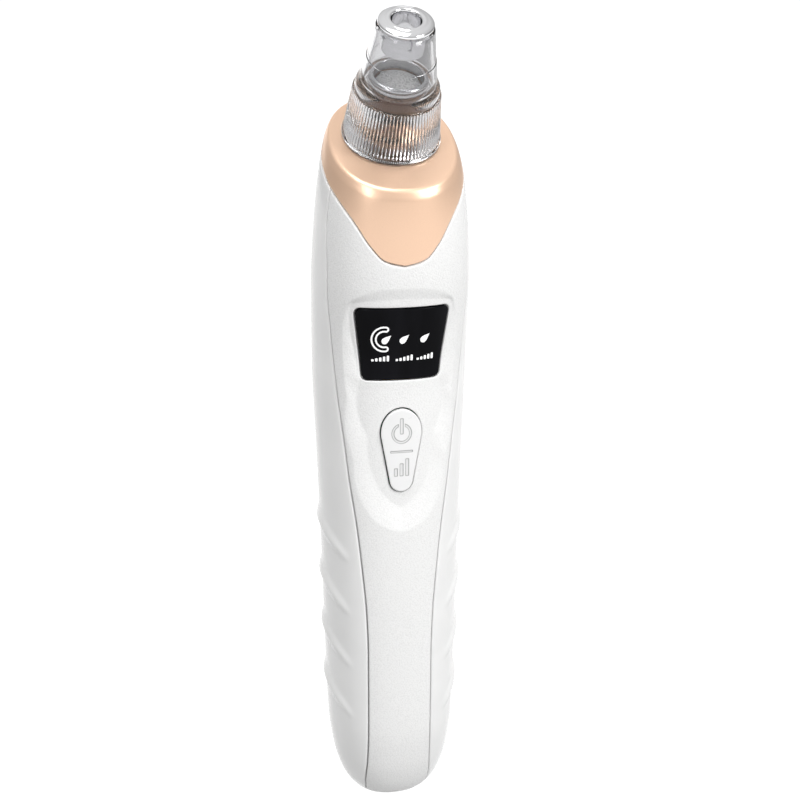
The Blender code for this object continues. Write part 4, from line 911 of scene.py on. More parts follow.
# ============================================================ white shells
@dataclass
class RearShell:
    """Sides, back and foot of the handle, with four slanting grip ridges on each side."""

    edge: float = 0.35
    opening: float = 1.7
    floor: float = 1.6
    collar_gap: float = 0.5
    ridge_count: int = 4
    ridge_stations: tuple[float, float] = (30.4, 69.0)
    ridge_width: float = 5.0
    ridge_height: float = 0.62
    ridge_fall: float = 6.5
    flanks: tuple[float, float] = (1.25, 0.75)
    ridge_angles: tuple[float, float] = (44.0, 136.0)
    rows: int = 300
    columns: int = 120
    posts: tuple[tuple[float, float], ...] = ((0.0, 13.5), (0.0, 69.8), (-8.2, 121.0), (8.2, 121.0))
    post_radii: tuple[float, float] = (0.95, 2.3)
    post_start: float = 0.6
    head_lift: float = 7.5
    side_taper: float = 0.35
    vents: tuple[float, ...] = (101.7, 104.7, 107.7)
    vent_half: tuple[float, float] = (3.5, 0.6)
    vent_corner: float = 0.55
    port: tuple[float, float, float] = (8.0, 4.2, 1.6)
    port_corner: float = 1.2
    crease: float = 38.0

    def ridge_rise(self, h: np.ndarray, angle: np.ndarray) -> np.ndarray:
        """Height of the grip ridges.

        Along a ridge the height follows sin(pi t)^0.6, so it fades at both ends; its middle drops by
        fall (1 - 2t)^1.3 towards the front. Across it the height follows (1 - d^2)^1.5, where d is the
        distance over the flank's length and the lower flank is three fifths as long as the upper one.

        Args:
            h: stations along the handle.
            angle: degrees from the front.

        Returns:
            The rise above the skin at each place.
        """
        away = np.abs((angle + 180) % 360 - 180)
        first, last = self.ridge_angles
        t = np.clip((away - first) / (last - first), 0, 1)
        rise = np.sin(math.pi * t) ** 0.6
        fall = self.ridge_fall * np.maximum(0, 1 - 2 * t) ** 1.3
        middles = np.linspace(*self.ridge_stations, self.ridge_count)
        offset = h[..., None] - (middles - fall[..., None])
        upper, lower = self.flanks
        half = np.where(offset > 0, upper, lower) * (self.ridge_width / 2) * (0.45 + 0.55 * rise[..., None])
        across = np.clip(1 - (offset / half) ** 2, 0, 1) ** 1.5
        return self.ridge_height * rise * across.max(axis=-1)

    def opening_distance(self, h: np.ndarray, angle: np.ndarray) -> np.ndarray:
        """Distance along the skin from the front opening's edge.

        Args:
            h: stations along the handle.
            angle: degrees from the front.

        Returns:
            The distance, measured round the corner below the opening's lower end.
        """
        away = np.abs((angle + 180) % 360 - 180)
        reach = smooth_curve(SHAPE.widths, h)
        side = np.radians(away - SHAPE.seam_angle(np.maximum(h, self.opening), SHAPE.gap)) * reach
        below = self.opening - h
        return np.where(below > 0, np.where(side > 0, np.hypot(side, below), below), side)

    def surface(self, h: np.ndarray, angle: np.ndarray, top: np.ndarray) -> np.ndarray:
        """Outer points: the skin with ridges, rounded along the front opening and the collar joint.

        Args:
            h: stations along the handle.
            angle: degrees from the front.
            top: station of the shell's upper edge at each point.

        Returns:
            (..., 3) points in millimetres.
        """
        inset = round_drop(self.opening_distance(h, angle), self.edge) + round_drop(top - h, self.edge)
        return SHAPE.skin(h, angle, np.minimum(inset, self.edge) - self.ridge_rise(h, angle))

    def back_angles(self, h: np.ndarray, across: np.ndarray) -> np.ndarray:
        """Angles from one seam round the back to the other.

        Args:
            h: stations along the handle.
            across: column numbers, which count whole steps of the rounding near each seam and run
                evenly between them.

        Returns:
            The angle in degrees at each point.
        """
        steps = round_steps(self.edge)
        last = len(steps) - 1
        span = across.max()
        near = np.minimum(across, span - across)
        grow = SHAPE.gap + np.interp(near, np.arange(last + 1), steps)
        edge = SHAPE.seam_angle(h, grow)
        inner = SHAPE.seam_angle(h, SHAPE.gap + self.edge)
        middle = inner + (360 - 2 * inner) * (across - last) / (span - 2 * last)
        return np.where(near < last, np.where(across < span / 2, edge, 360 - edge), middle)

    def sheets(self) -> Form:
        """The closed shell: foot disc, low cup all the way round, and the wall from seam to seam.

        The collar line depends on the angle and the seam's angle on the station, so the two are worked
        out in turn a few times until they agree.

        Returns:
            The closed form.
        """
        across = np.arange(self.columns + 1.0)
        turned = round_steps(self.edge)
        rows = np.linspace(0, 1, self.rows)[:, None]
        angle = self.back_angles(np.full(across.shape, 140.0), across)[None, :]
        for _ in range(SETTLING_ROUNDS):
            top = SHAPE.collar_line(angle, self.collar_gap)
            h = np.concatenate([self.opening + (top[-1:] - self.edge - self.opening) * rows,
                                top[-1:] - turned[::-1][1:, None]])
            angle = self.back_angles(h, np.broadcast_to(across, h.shape))
        top = SHAPE.collar_line(angle, self.collar_gap)
        wall, wall_in = self.surface(h, angle, h[-1:] + 0 * h), SHAPE.skin(h, angle, SHAPE.wall)

        seam = angle[0, 0]
        ring = np.concatenate([angle[0], 360 + np.linspace(-seam, seam, 26)[1:-1]])[None, :]
        low = np.concatenate([np.linspace(0, 1, 9)[:-1] * (self.opening - self.edge),
                              self.opening - turned[::-1]])[:, None]
        low, ring_all = np.broadcast_arrays(low, ring)
        cup = self.surface(low, ring_all, low + FAR)
        raised = self.floor + low * (self.opening - self.floor) / self.opening
        cup_in = SHAPE.skin(raised, ring_all, SHAPE.wall)

        shrink = np.linspace(1, 0, 14)[:, None, None]
        foot = cup[:1] * np.concatenate([shrink, shrink, 1 + 0 * shrink], axis=-1)
        foot_in = cup_in[:1] * np.concatenate([shrink, shrink, 1 + 0 * shrink], axis=-1)
        outer = Form.union(Form.grid(wall), Form.grid(cup, wrap_columns=True),
                           Form.grid(foot[::-1], wrap_columns=True))
        inner = np.concatenate([wall_in.reshape(-1, 3), cup_in.reshape(-1, 3), foot_in[::-1].reshape(-1, 3)])
        return outer.thickened(inner)

    def post_forms(self) -> list[Form]:
        """Screw posts that run from the inner frame back into the rear wall.

        The wall lies further forward at the sides and, where the head leans, belongs to a higher station.

        Returns:
            One closed tube for each post.
        """
        made = []
        for x, z in self.posts:
            h = z + (self.head_lift if z > SHAPE.head_start else 0.0)
            back = SHAPE.skin(np.array(h), np.array(180.0), SHAPE.wall * 0.5)[1] - abs(x) * self.side_taper
            bore, outside = self.post_radii
            profile = rounded_profile(((bore, 0.0, 0.1), (outside, 0.0, 0.2), (outside, 1.0, 0.0),
                                       (bore, 1.0, 0.0)))
            turn = full_turn(32)
            r, s = profile[:, :1], profile[:, 1:]
            y = self.post_start + (back - self.post_start) * np.broadcast_to(s, (len(profile), len(turn)))
            points = np.stack([x + r * np.cos(turn), y, z + r * np.sin(turn)], axis=-1)
            made.append(Form.grid(points, True, True).outward())
        return made

    def cut_slots(self, shell: bpy.types.Object) -> None:
        """Open the charging slot and the vents in the back with rounded cutters."""
        port_z, half_w, half_h = self.port
        slots = [(port_z, half_w, half_h, self.port_corner)]
        slots += [(z, *self.vent_half, self.vent_corner) for z in self.vents]
        for z, half_x, half_z, corner in slots:
            rounds = tuple((sx * (half_x - corner), z + sz * (half_z - corner), corner, corner)
                           for sx in (-1, 1) for sz in (-1, 1))
            outline = hull_outline(rounds)[:-1:60]
            y = SHAPE.skin(np.array(z), np.array(180.0))[1] + np.array([-3.6, 3.0])
            ring = np.stack([np.stack([outline[:, 0], np.full(len(outline), level), outline[:, 1]], axis=-1)
                             for level in y])
            caps = np.broadcast_to(ring.mean(axis=1, keepdims=True), ring.shape)
            closed = Form.grid(np.stack([caps[0], ring[0], ring[1], caps[1]]), wrap_columns=True)
            mesh = closed.welded()[0].outward().mesh("slot_cutter")
            cutter = bpy.data.objects.new("slot_cutter", mesh)
            bpy.context.collection.objects.link(cutter)
            cut = shell.modifiers.new("slot", "BOOLEAN")
            cut.operation, cut.solver, cut.object = "DIFFERENCE", "EXACT", cutter
            bpy.context.view_layer.update()
            result = bpy.data.meshes.new_from_object(
                shell.evaluated_get(bpy.context.evaluated_depsgraph_get()))
            shell.modifiers.clear()
            shell.data = result
            bpy.data.objects.remove(cutter, do_unlink=True)

    def build(self) -> None:
        """Make the shell, open its slots and give it its posts."""
        shell = add_piece("rear_shell_visual", self.sheets(), WHITE_SHELL, Body.HANDLE, ("rear_shell",),
                          self.crease)
        self.cut_slots(shell)
        shell.data.shade_smooth()
        shell.data.set_sharp_from_angle(angle=math.radians(self.crease))
        add_piece("screw_posts", Form.union(*self.post_forms()), WHITE_SHELL, Body.HANDLE, ())


@dataclass
class DisplayOutline:
    """Rounded trapezoid of the display, wider at its top."""

    top: float = 119.0
    height: float = 15.2
    widths: tuple[float, float] = (20.0, 17.5)
    corner: float = 1.1

    def line(self, grow: float = 0.0) -> np.ndarray:
        """Closed outline, grown by a distance."""
        r, bottom = self.corner, self.top - self.height
        spots = ((self.widths[0] / 2 - r, self.top - r), (self.widths[1] / 2 - r, bottom + r))
        return hull_outline(tuple((side * x, z, r, r) for side in (-1, 1) for x, z in spots), grow)

    @property
    def middle(self) -> float:
        """Height of the outline's middle."""
        return self.top - self.height / 2


@dataclass
class ButtonOutline:
    """Teardrop of the rocker button: wide and round above, narrow and round below."""

    top: float = 97.3
    length: float = 18.4
    width: float = 9.1
    rise: float = 5.2
    end_radius: float = 2.6

    def line(self, grow: float = 0.0) -> np.ndarray:
        """Closed outline, grown by a distance."""
        low = self.top - self.length + self.end_radius
        return hull_outline(((0, self.top - self.rise, self.width / 2, self.rise),
                             (0, low, self.end_radius, self.end_radius)), grow)

    @property
    def middle(self) -> float:
        """Height about which the outline is star-shaped."""
        return self.top - self.length * 0.48


DISPLAY = DisplayOutline()
BUTTON = ButtonOutline()


@dataclass
class FrontPanel:
    """Grained front cover with its thumb recess, display window and button opening."""

    edge: float = 0.3
    hole_edge: float = 0.22
    bottom: float = 2.0
    collar_gap: float = 0.5
    side_strip: float = 0.9
    recess_start: float = 66.0
    joints: tuple[float, float, float] = (76.0, 100.9, 125.0)
    columns: int = 72
    cell_rows: tuple[int, int] = (88, 84)
    rings: int = 24

    def side(self, h: np.ndarray) -> np.ndarray:
        """Angle where the plain field ends and the rounded side strip starts."""
        return SHAPE.seam_angle(h, -self.side_strip)

    def field_sheet(self, h: np.ndarray) -> tuple[np.ndarray, np.ndarray]:
        """Stations and angles of a plain field between its side strips, and of the strips.

        Args:
            h: (rows, 1) stations of the rows.

        Returns:
            The stations and the angles, one row for each station.
        """
        even = np.linspace(-1, 1, self.columns + 1)
        away = np.concatenate([round_steps(self.edge), [0.6, self.side_strip]])
        left = -SHAPE.seam_angle(h, -away)
        middle = self.side(h) * even[None, 1:-1]
        return np.broadcast_to(h, (len(h), middle.shape[1] + 2 * left.shape[1])), np.concatenate(
            [left, middle, -left[:, ::-1]], axis=1)

    def cell_ring(self, low: float, high: float, rows: int) -> tuple[np.ndarray, np.ndarray]:
        """Stations and angles round a cell's border, anticlockwise from its lower right corner.

        Args:
            low: station of the cell's lower end.
            high: station of its upper end.
            rows: steps up each side.

        Returns:
            The stations and the angles.
        """
        up = np.linspace(low, high, rows + 1)[:-1]
        even = np.linspace(1, -1, self.columns + 1)[:-1]
        h = np.concatenate([up, np.full(self.columns, high), up[::-1] + (high - low) / rows,
                            np.full(self.columns, low)])
        side = self.side(h)
        share = np.concatenate([np.ones(rows), even, -np.ones(rows), -even])
        return h, side * share

    def cell_sheet(self, low: float, high: float, rows: int, hole: DisplayOutline | ButtonOutline
                   ) -> tuple[np.ndarray, np.ndarray, np.ndarray]:
        """Stations, angles and edge distances of a cell round one opening.

        The first rings are the opening's outline grown step by step; the others run straight from the
        last of them to the cell's border, closer together near the opening.

        Args:
            low: station of the cell's lower end.
            high: station of its upper end.
            rows: steps up each side.
            hole: outline of what sits in the opening.

        Returns:
            The stations, the angles and the distances from the opening's edge.
        """
        h, angle = self.cell_ring(low, high, rows)
        border = SHAPE.skin(h, angle)
        turn = np.arctan2(border[:, 2] - hole.middle, border[:, 0])
        away = np.concatenate([round_steps(self.hole_edge), [0.5]])
        near = [polar_radius(hole.line(SHAPE.gap + d), hole.middle, turn) for d in away]
        x, z = np.array(near) * np.cos(turn), hole.middle + np.array(near) * np.sin(turn)
        near_h, near_angle = SHAPE.locate(x, z)
        t = (np.linspace(0, 1, self.rings + 1)[1:, None]) ** 1.15
        all_h = np.concatenate([near_h, near_h[-1:] * (1 - t) + h * t])
        all_angle = np.concatenate([near_angle, near_angle[-1:] * (1 - t) + angle * t])
        distance = np.concatenate([away, np.full(self.rings, FAR)])[:, None] + 0 * all_h
        return all_h, all_angle, distance

    def surface(self, h: np.ndarray, angle: np.ndarray, hole_distance: np.ndarray | float) -> np.ndarray:
        """Outer points: the skin sunk by the recess and rounded along seam, ends and openings.

        Args:
            h: stations along the handle.
            angle: degrees from the front.
            hole_distance: distance from the nearest opening's edge.

        Returns:
            (..., 3) points in millimetres.
        """
        flat = SHAPE.skin(h, angle)
        seam = SHAPE.skin(h, SHAPE.seam_angle(h) * np.where(angle < 0, -1, 1))
        side = np.linalg.norm(flat - seam, axis=-1)
        top = SHAPE.collar_line(angle, self.collar_gap) - h
        rounding = (round_drop(side, self.edge) + round_drop(h - self.bottom, self.edge)
                    + round_drop(top, self.edge) + round_drop(hole_distance, self.hole_edge))
        sink = RECESS.sink(flat[..., 0], flat[..., 2])
        return SHAPE.skin(h, angle, np.minimum(rounding, self.edge) + sink)

    def sheets(self) -> Form:
        """The closed cover: plain fields, and two cells with openings between their side strips.

        Returns:
            The closed form.
        """
        low, middle, high = self.joints
        turned = round_steps(self.edge)
        patches: list[tuple[np.ndarray, np.ndarray, np.ndarray | float, bool]] = []
        start = np.concatenate([self.bottom + turned,
                                np.linspace(self.bottom + self.edge, self.recess_start, 110)[1:],
                                np.linspace(self.recess_start, low, 41)[1:]])[:, None]
        patches.append((*self.field_sheet(start), FAR, False))
        for (a, b), rows, hole in zip(((low, middle), (middle, high)), self.cell_rows, (BUTTON, DISPLAY)):
            h, angle = self.field_sheet(np.linspace(a, b, rows + 1)[:, None])
            strip = len(turned) + 2
            for part in (slice(None, strip), slice(-strip, None)):
                patches.append((h[:, part], angle[:, part], FAR, False))
            h, angle, away = self.cell_sheet(a, b, rows, hole)
            patches.append((h, angle, away, True))
        v = np.linspace(0, 1, 44)[:, None]
        _, angle = self.field_sheet(np.full((1, 1), high))
        for _ in range(SETTLING_ROUNDS):
            top = SHAPE.collar_line(angle[-1:], self.collar_gap)
            h = np.concatenate([high + (top - self.edge - high) * v, top - turned[::-1][1:, None]])
            even = np.linspace(-1, 1, self.columns + 1)[None, 1:-1]
            away = np.concatenate([turned, [0.6, self.side_strip]])
            n = len(away)
            left, right = -SHAPE.seam_angle(h[:, :n], -away), SHAPE.seam_angle(h[:, -n:], -away[::-1])
            angle = np.concatenate([left, self.side(h[:, n:-n]) * even, right], axis=1)
        patches.append((h, angle, FAR, False))
        outer = Form.union(*(Form.grid(self.surface(h, a, away), wrap_columns=wrap)
                             for h, a, away, wrap in patches))
        inner = np.concatenate([SHAPE.skin(h, a, SHAPE.wall).reshape(-1, 3) for h, a, _, _ in patches])
        return outer.thickened(inner)

    def build(self) -> None:
        """Make the cover."""
        add_piece("front_panel_visual", self.sheets(), WHITE_PANEL, Body.HANDLE, ("front_panel",),
                  50.0)


@dataclass
class Collar:
    """Rose gold collar: flat leaning top with a hole for the nozzle, and a pointed apron in front."""

    rim: float = 0.55
    edge: float = 0.3
    plate: float = 2.0
    hole: float = 6.4
    columns: int = 384

    def form(self) -> Form:
        """Closed ring: top face, rounded rim, side, rounded lower edge, inner wall and underside.

        Returns:
            The closed form.
        """
        angle = np.linspace(0, 360, self.columns + 1)[None, :-1]
        length = SHAPE.length
        centre, forward, axis = SEAT.place()
        u = np.radians(angle)
        spoke = np.sin(u)[..., None] * np.array([1.0, 0, 0]) + np.cos(u)[..., None] * forward
        mouth = centre + self.hole * spoke
        outer_face = SHAPE.skin(np.array(length), angle, self.rim)
        share = np.linspace(0, 1, 14)[:, None, None]
        lip = np.concatenate([mouth - axis * 0.2, mouth - axis * 0.05, mouth + spoke * 0.15])
        face = (mouth + spoke * 0.2) * (1 - share) + outer_face * share
        turn = np.linspace(0, math.pi / 2, 8)[1:, None]
        rim = SHAPE.skin(length - self.rim * (1 - np.cos(turn)), angle, self.rim * (1 - np.sin(turn)))
        low = SHAPE.collar_line(angle)
        t = np.linspace(0, 1, 48)[1:, None]
        side = SHAPE.skin((length - self.rim) * (1 - t) + (low + self.edge) * t, angle)
        turn = np.linspace(0, math.pi / 2, 6)[1:, None]
        under = SHAPE.skin(low + self.edge * (1 - np.sin(turn)), angle, self.edge * (1 - np.cos(turn)))
        inner_low = SHAPE.skin(low, angle, SHAPE.wall)
        inside_top = SHAPE.skin(np.array(length), angle, SHAPE.wall + 1.2) - axis * self.plate
        wall = inner_low * (1 - share[1:]) + inside_top * share[1:]
        back = inside_top * (1 - share[1:]) + (mouth - axis * self.plate) * share[1:]
        return Form.grid(np.concatenate([lip, face, rim, side, under, inner_low, wall, back]),
                         True, True).outward()

    def build(self) -> None:
        """Make the collar."""
        add_piece("collar_visual", self.form(), ROSE_GOLD, Body.HANDLE, ("collar",), 50.0)


# ============================================================ display and button
def decal(x: np.ndarray, z: np.ndarray, proud: float = 0.03, deep: float = 0.12) -> Form:
    """Thin printed patch on the display.

    Args:
        x: offsets of a grid whose columns go all the way round the patch.
        z: its heights.
        proud: how far the print stands above the window.
        deep: how far it reaches into it.

    Returns:
        The closed patch.
    """
    h, angle = SHAPE.locate(x, z)
    sink = RECESS.sink(x, z)
    sheet = Form.grid(SHAPE.skin(h, angle, sink - proud), wrap_columns=True)
    return sheet.thickened(SHAPE.skin(h, angle, sink + deep).reshape(-1, 3))


@dataclass
class DisplayWindow:
    """Black window with a printed arc, three drops and three small level meters."""

    thickness: float = 1.1
    edge: float = 0.14
    arc_centre: tuple[float, float] = (-4.05, 112.6)
    arc_radii: tuple[float, float] = (1.72, 2.62)
    arc_opening: float = 80.0
    line: float = 0.36
    drops: tuple[float, ...] = (-3.5, 0.35, 4.95)
    drop_size: tuple[float, float] = (0.95, 1.25)
    drop_lean: float = -48.0
    meters: tuple[float, ...] = (-4.8, 0.45, 5.15)
    meter_base: float = 107.8
    meter_heights: tuple[float, ...] = (0.45, 0.65, 0.85, 1.05, 1.25)
    bar_step: float = 0.82
    bar_half: float = 0.26

    def window_form(self) -> Form:
        """Polar grid over the outline: rounded rim first, then rings that shrink to the middle.

        Returns:
            The closed window.
        """
        turn = np.linspace(-math.pi, math.pi, 361)[:-1]
        away = round_steps(self.edge, 3)
        rim = np.stack([polar_radius(DISPLAY.line(-d), DISPLAY.middle, turn) for d in away])
        shrink = np.linspace(1, 0, 42)[1:, None]
        radius = np.concatenate([rim, rim[-1:] * shrink])
        x, z = radius * np.cos(turn), DISPLAY.middle + radius * np.sin(turn)
        h, angle = SHAPE.locate(x, z)
        distance = np.concatenate([away, np.full(len(shrink), FAR)])[:, None]
        sink = RECESS.sink(x, z) + round_drop(distance, self.edge)
        sheet = Form.grid(SHAPE.skin(h, angle, sink), wrap_columns=True)
        inner = SHAPE.skin(h, angle, RECESS.sink(x, z) + self.thickness)
        return sheet.thickened(inner.reshape(-1, 3))

    def arc_form(self) -> Form:
        """Outline of a thick C: its outer arc, a round end, its inner arc and the other round end.

        Returns:
            The closed patch, a line of even width.
        """
        inner, outer = self.arc_radii
        middle, half = (inner + outer) / 2, (outer - inner) / 2
        start, end = math.radians(self.arc_opening), math.radians(360 - self.arc_opening)
        sweep = np.linspace(start, end, 90)
        tip = np.linspace(0, math.pi, 20)[1:-1]
        runs = [np.stack([outer * np.cos(sweep), outer * np.sin(sweep)], axis=-1)]
        for at, sign in ((end, 1.0), (start, -1.0)):
            radial = np.array([math.cos(at), math.sin(at)])
            along = np.array([-math.sin(at), math.cos(at)])
            runs.append(radial * middle + half * sign * (np.cos(tip)[:, None] * radial
                                                         + np.sin(tip)[:, None] * along))
            if sign > 0:
                runs.append(np.stack([inner * np.cos(sweep[::-1]), inner * np.sin(sweep[::-1])], axis=-1))
        loop = np.concatenate(runs)
        ahead = np.roll(loop, -1, axis=0) - np.roll(loop, 1, axis=0)
        ahead /= np.linalg.norm(ahead, axis=1, keepdims=True)
        normal = np.stack([ahead[:, 1], -ahead[:, 0]], axis=-1)
        offset = np.linspace(-0.5, 0.5, 3)[:, None, None] * self.line
        points = loop + normal * offset
        return decal(self.arc_centre[0] + points[..., 0], self.arc_centre[1] + points[..., 1])

    def drop_form(self, x: float) -> Form:
        """Drop that points up to the right: across sin(t) sin(t/2)^1.5 and along cos(t), then leaned.

        Args:
            x: offset of the drop's middle.

        Returns:
            The closed patch.
        """
        t = full_turn(48)
        across, along = self.drop_size
        local = np.stack([across * np.sin(t) * np.sin(t / 2) ** 1.5, along * np.cos(t)], axis=-1)
        lean = math.radians(self.drop_lean)
        spin = np.array([[math.cos(lean), -math.sin(lean)], [math.sin(lean), math.cos(lean)]])
        shrink = np.linspace(1, 0, 6)[:, None, None]
        points = (local @ spin.T)[None] * shrink
        return decal(x + points[..., 0], self.arc_centre[1] + points[..., 1])

    def meter_forms(self, x: float) -> list[Form]:
        """Five rounded bars that rise to the right.

        A bar's outline takes cos(t) and sin(t) to the power 0.4, each with its sign kept.

        Args:
            x: offset of the middle bar.

        Returns:
            One closed patch for each bar.
        """
        made = []
        for k, height in enumerate(self.meter_heights):
            t = full_turn(32)
            middle = self.meter_base + height / 2
            across = self.bar_half * np.sign(np.cos(t)) * np.abs(np.cos(t)) ** 0.4
            along = height / 2 * np.sign(np.sin(t)) * np.abs(np.sin(t)) ** 0.4
            shrink = np.linspace(1, 0, 4)[:, None]
            made.append(decal(x + (k - 2) * self.bar_step + across * shrink, middle + along * shrink))
        return made

    def build(self) -> None:
        """Make the window and its printed signs."""
        add_piece("display_window", self.window_form(), WINDOW, Body.HANDLE, ("display_lens",),
                  60.0)
        signs = [self.arc_form()] + [self.drop_form(x) for x in self.drops]
        for x in self.meters:
            signs += self.meter_forms(x)
        add_piece("display_signs", Form.union(*signs), INK, Body.HANDLE, (), 60.0)


@dataclass
class RockerButton:
    """Teardrop cap with an engraved power sign, a divider and three rising bars."""

    inset: float = 0.5
    thickness: float = 0.9
    edge: float = 0.3
    groove: float = 0.1
    rows: int = 340
    columns: int = 150
    ring: tuple[float, float, float] = (92.0, 1.95, 0.25)
    ring_gap: float = 0.75
    power_bar: tuple[float, float, float] = (93.6, 0.32, 1.7)
    divider: tuple[float, float, float] = (87.95, 2.45, 0.2)
    bar_heights: tuple[float, ...] = (1.7, 2.75, 3.8)
    bar_base: float = 82.5
    bar_step: float = 1.25
    bar_half: float = 0.36
    pivot: tuple[float, float] = (-11.406, 87.9)
    rib_half: tuple[float, float] = (3.0, 1.3)
    rib_depths: tuple[float, float] = (-1.9, 1.3)
    post_depths: tuple[float, float] = (-2.1, 0.36)
    post_offset: float = 4.8

    def sign_distance(self, x: np.ndarray, z: np.ndarray) -> np.ndarray:
        """Signed distance to the nearest engraved stroke, negative inside it.

        Args:
            x: offsets from the middle.
            z: heights above the foot.

        Returns:
            The distance at each place.
        """
        centre, radius, half = self.ring
        ring = np.abs(np.hypot(x, z - centre) - radius) - half
        ring = np.maximum(ring, np.where(z > centre, self.ring_gap - np.abs(x), -1.0))
        boxes = [(0.0, *self.power_bar), (0.0, *self.divider)]
        boxes += [((k - 1) * self.bar_step, self.bar_base + height / 2, self.bar_half, height / 2)
                  for k, height in enumerate(self.bar_heights)]
        strokes = [box_distance(x, z, (across, middle), (half_x, half_z), 0.1)
                   for across, middle, half_x, half_z in boxes]
        return np.min([ring, *strokes], axis=0)

    def cap(self) -> tuple[Form, np.ndarray]:
        """Cap and its marks: rows crowd towards both ends, columns fill the width of each row.

        The marks, painted shade, are exp(-(d / 0.075)^2) of the distance d from a stroke's edge, with a
        little more painted shade inside the stroke.

        Returns:
            The closed cap, and how much painted shade each of its points holds.
        """
        outline = BUTTON.line()
        right = outline[outline[:, 0] >= 0]
        order = np.argsort(right[:, 1])
        heights, widths = right[order, 1], right[order, 0]
        swing = np.linspace(-math.pi / 2, math.pi / 2, self.rows)
        low, high = heights[0], heights[-1]
        z = (low + high) / 2 + (high - low) / 2 * np.sin(swing)[:, None]
        even = np.linspace(-1, 1, self.columns)
        share = even + 0.1 * np.sin(math.pi * even)
        half = np.interp(z, heights, widths)
        half[[0, -1]] = 0.0
        x = half * share
        z = np.broadcast_to(z, x.shape)
        away = np.full(x.shape, FAR)
        for part in np.array_split(outline[:-1:6], 24):
            gap = np.hypot(x[..., None] - part[:, 0], z[..., None] - part[:, 1]).min(axis=-1)
            away = np.minimum(away, gap)
        away[:, [0, -1]] = 0.0
        away[[0, -1]] = 0.0
        sign = self.sign_distance(x, z)
        sink = self.inset + round_drop(away, self.edge) + self.groove * ease(-sign / 0.09)
        h, angle = SHAPE.locate(x, z)
        sheet = Form.grid(SHAPE.skin(h, angle, sink))
        inner = SHAPE.skin(h, angle, self.inset + self.thickness).reshape(-1, 3)
        # painted shade: darkest at a stroke's edge, and a little inside each stroke
        shadow = np.exp(-(sign / 0.075) ** 2) * 0.85 + 0.12 * (sign < 0)
        _, kept = sheet.welded(shadow.reshape(-1))
        return sheet.thickened(inner), np.concatenate([kept, np.zeros(len(kept))])

    def works(self) -> Form:
        """Pivot rib and the two push posts behind the cap.

        Returns:
            The rib and the posts in one form.
        """
        y, z = self.pivot
        half_x, half_z = self.rib_half
        front, back = y + np.array(self.rib_depths)
        corner = np.array([[-half_x, front, z - half_z], [half_x, back, z + half_z]])
        box = np.stack(np.meshgrid([0, 1], [0, 1], [0, 1], indexing="ij"), axis=-1).reshape(-1, 3)
        points = corner[box, np.arange(3)]
        faces = np.array([[0, 1, 3, 2], [4, 6, 7, 5], [0, 4, 5, 1], [2, 3, 7, 6], [0, 2, 6, 4], [1, 5, 7, 3]])
        made = [Form(points, faces).outward()]
        turn = full_turn(24)
        start, end = y + np.array(self.post_depths)
        profile = np.array([[0.0, 0], [0.9, 0], [1.0, 0.1], [1.0, 0.95], [0.9, 1.0], [0.0, 1.0]])
        for side in (-1, 1):
            r, s = profile[:, :1], profile[:, 1:] + 0 * turn
            points = np.stack([r * np.cos(turn), start + (end - start) * s,
                               z + side * self.post_offset + r * np.sin(turn)], axis=-1)
            made.append(Form.grid(points, wrap_columns=True).welded()[0].outward())
        return Form.union(*made)

    def build(self) -> None:
        """Make the cap and what works behind it."""
        cap, marks = self.cap()
        add_piece("rocker_cap", cap, WHITE_BUTTON, Body.ROCKER, ("button_cap",), 60.0, marks)
        add_piece("rocker_works", self.works(), WHITE_SHELL, Body.ROCKER, ())


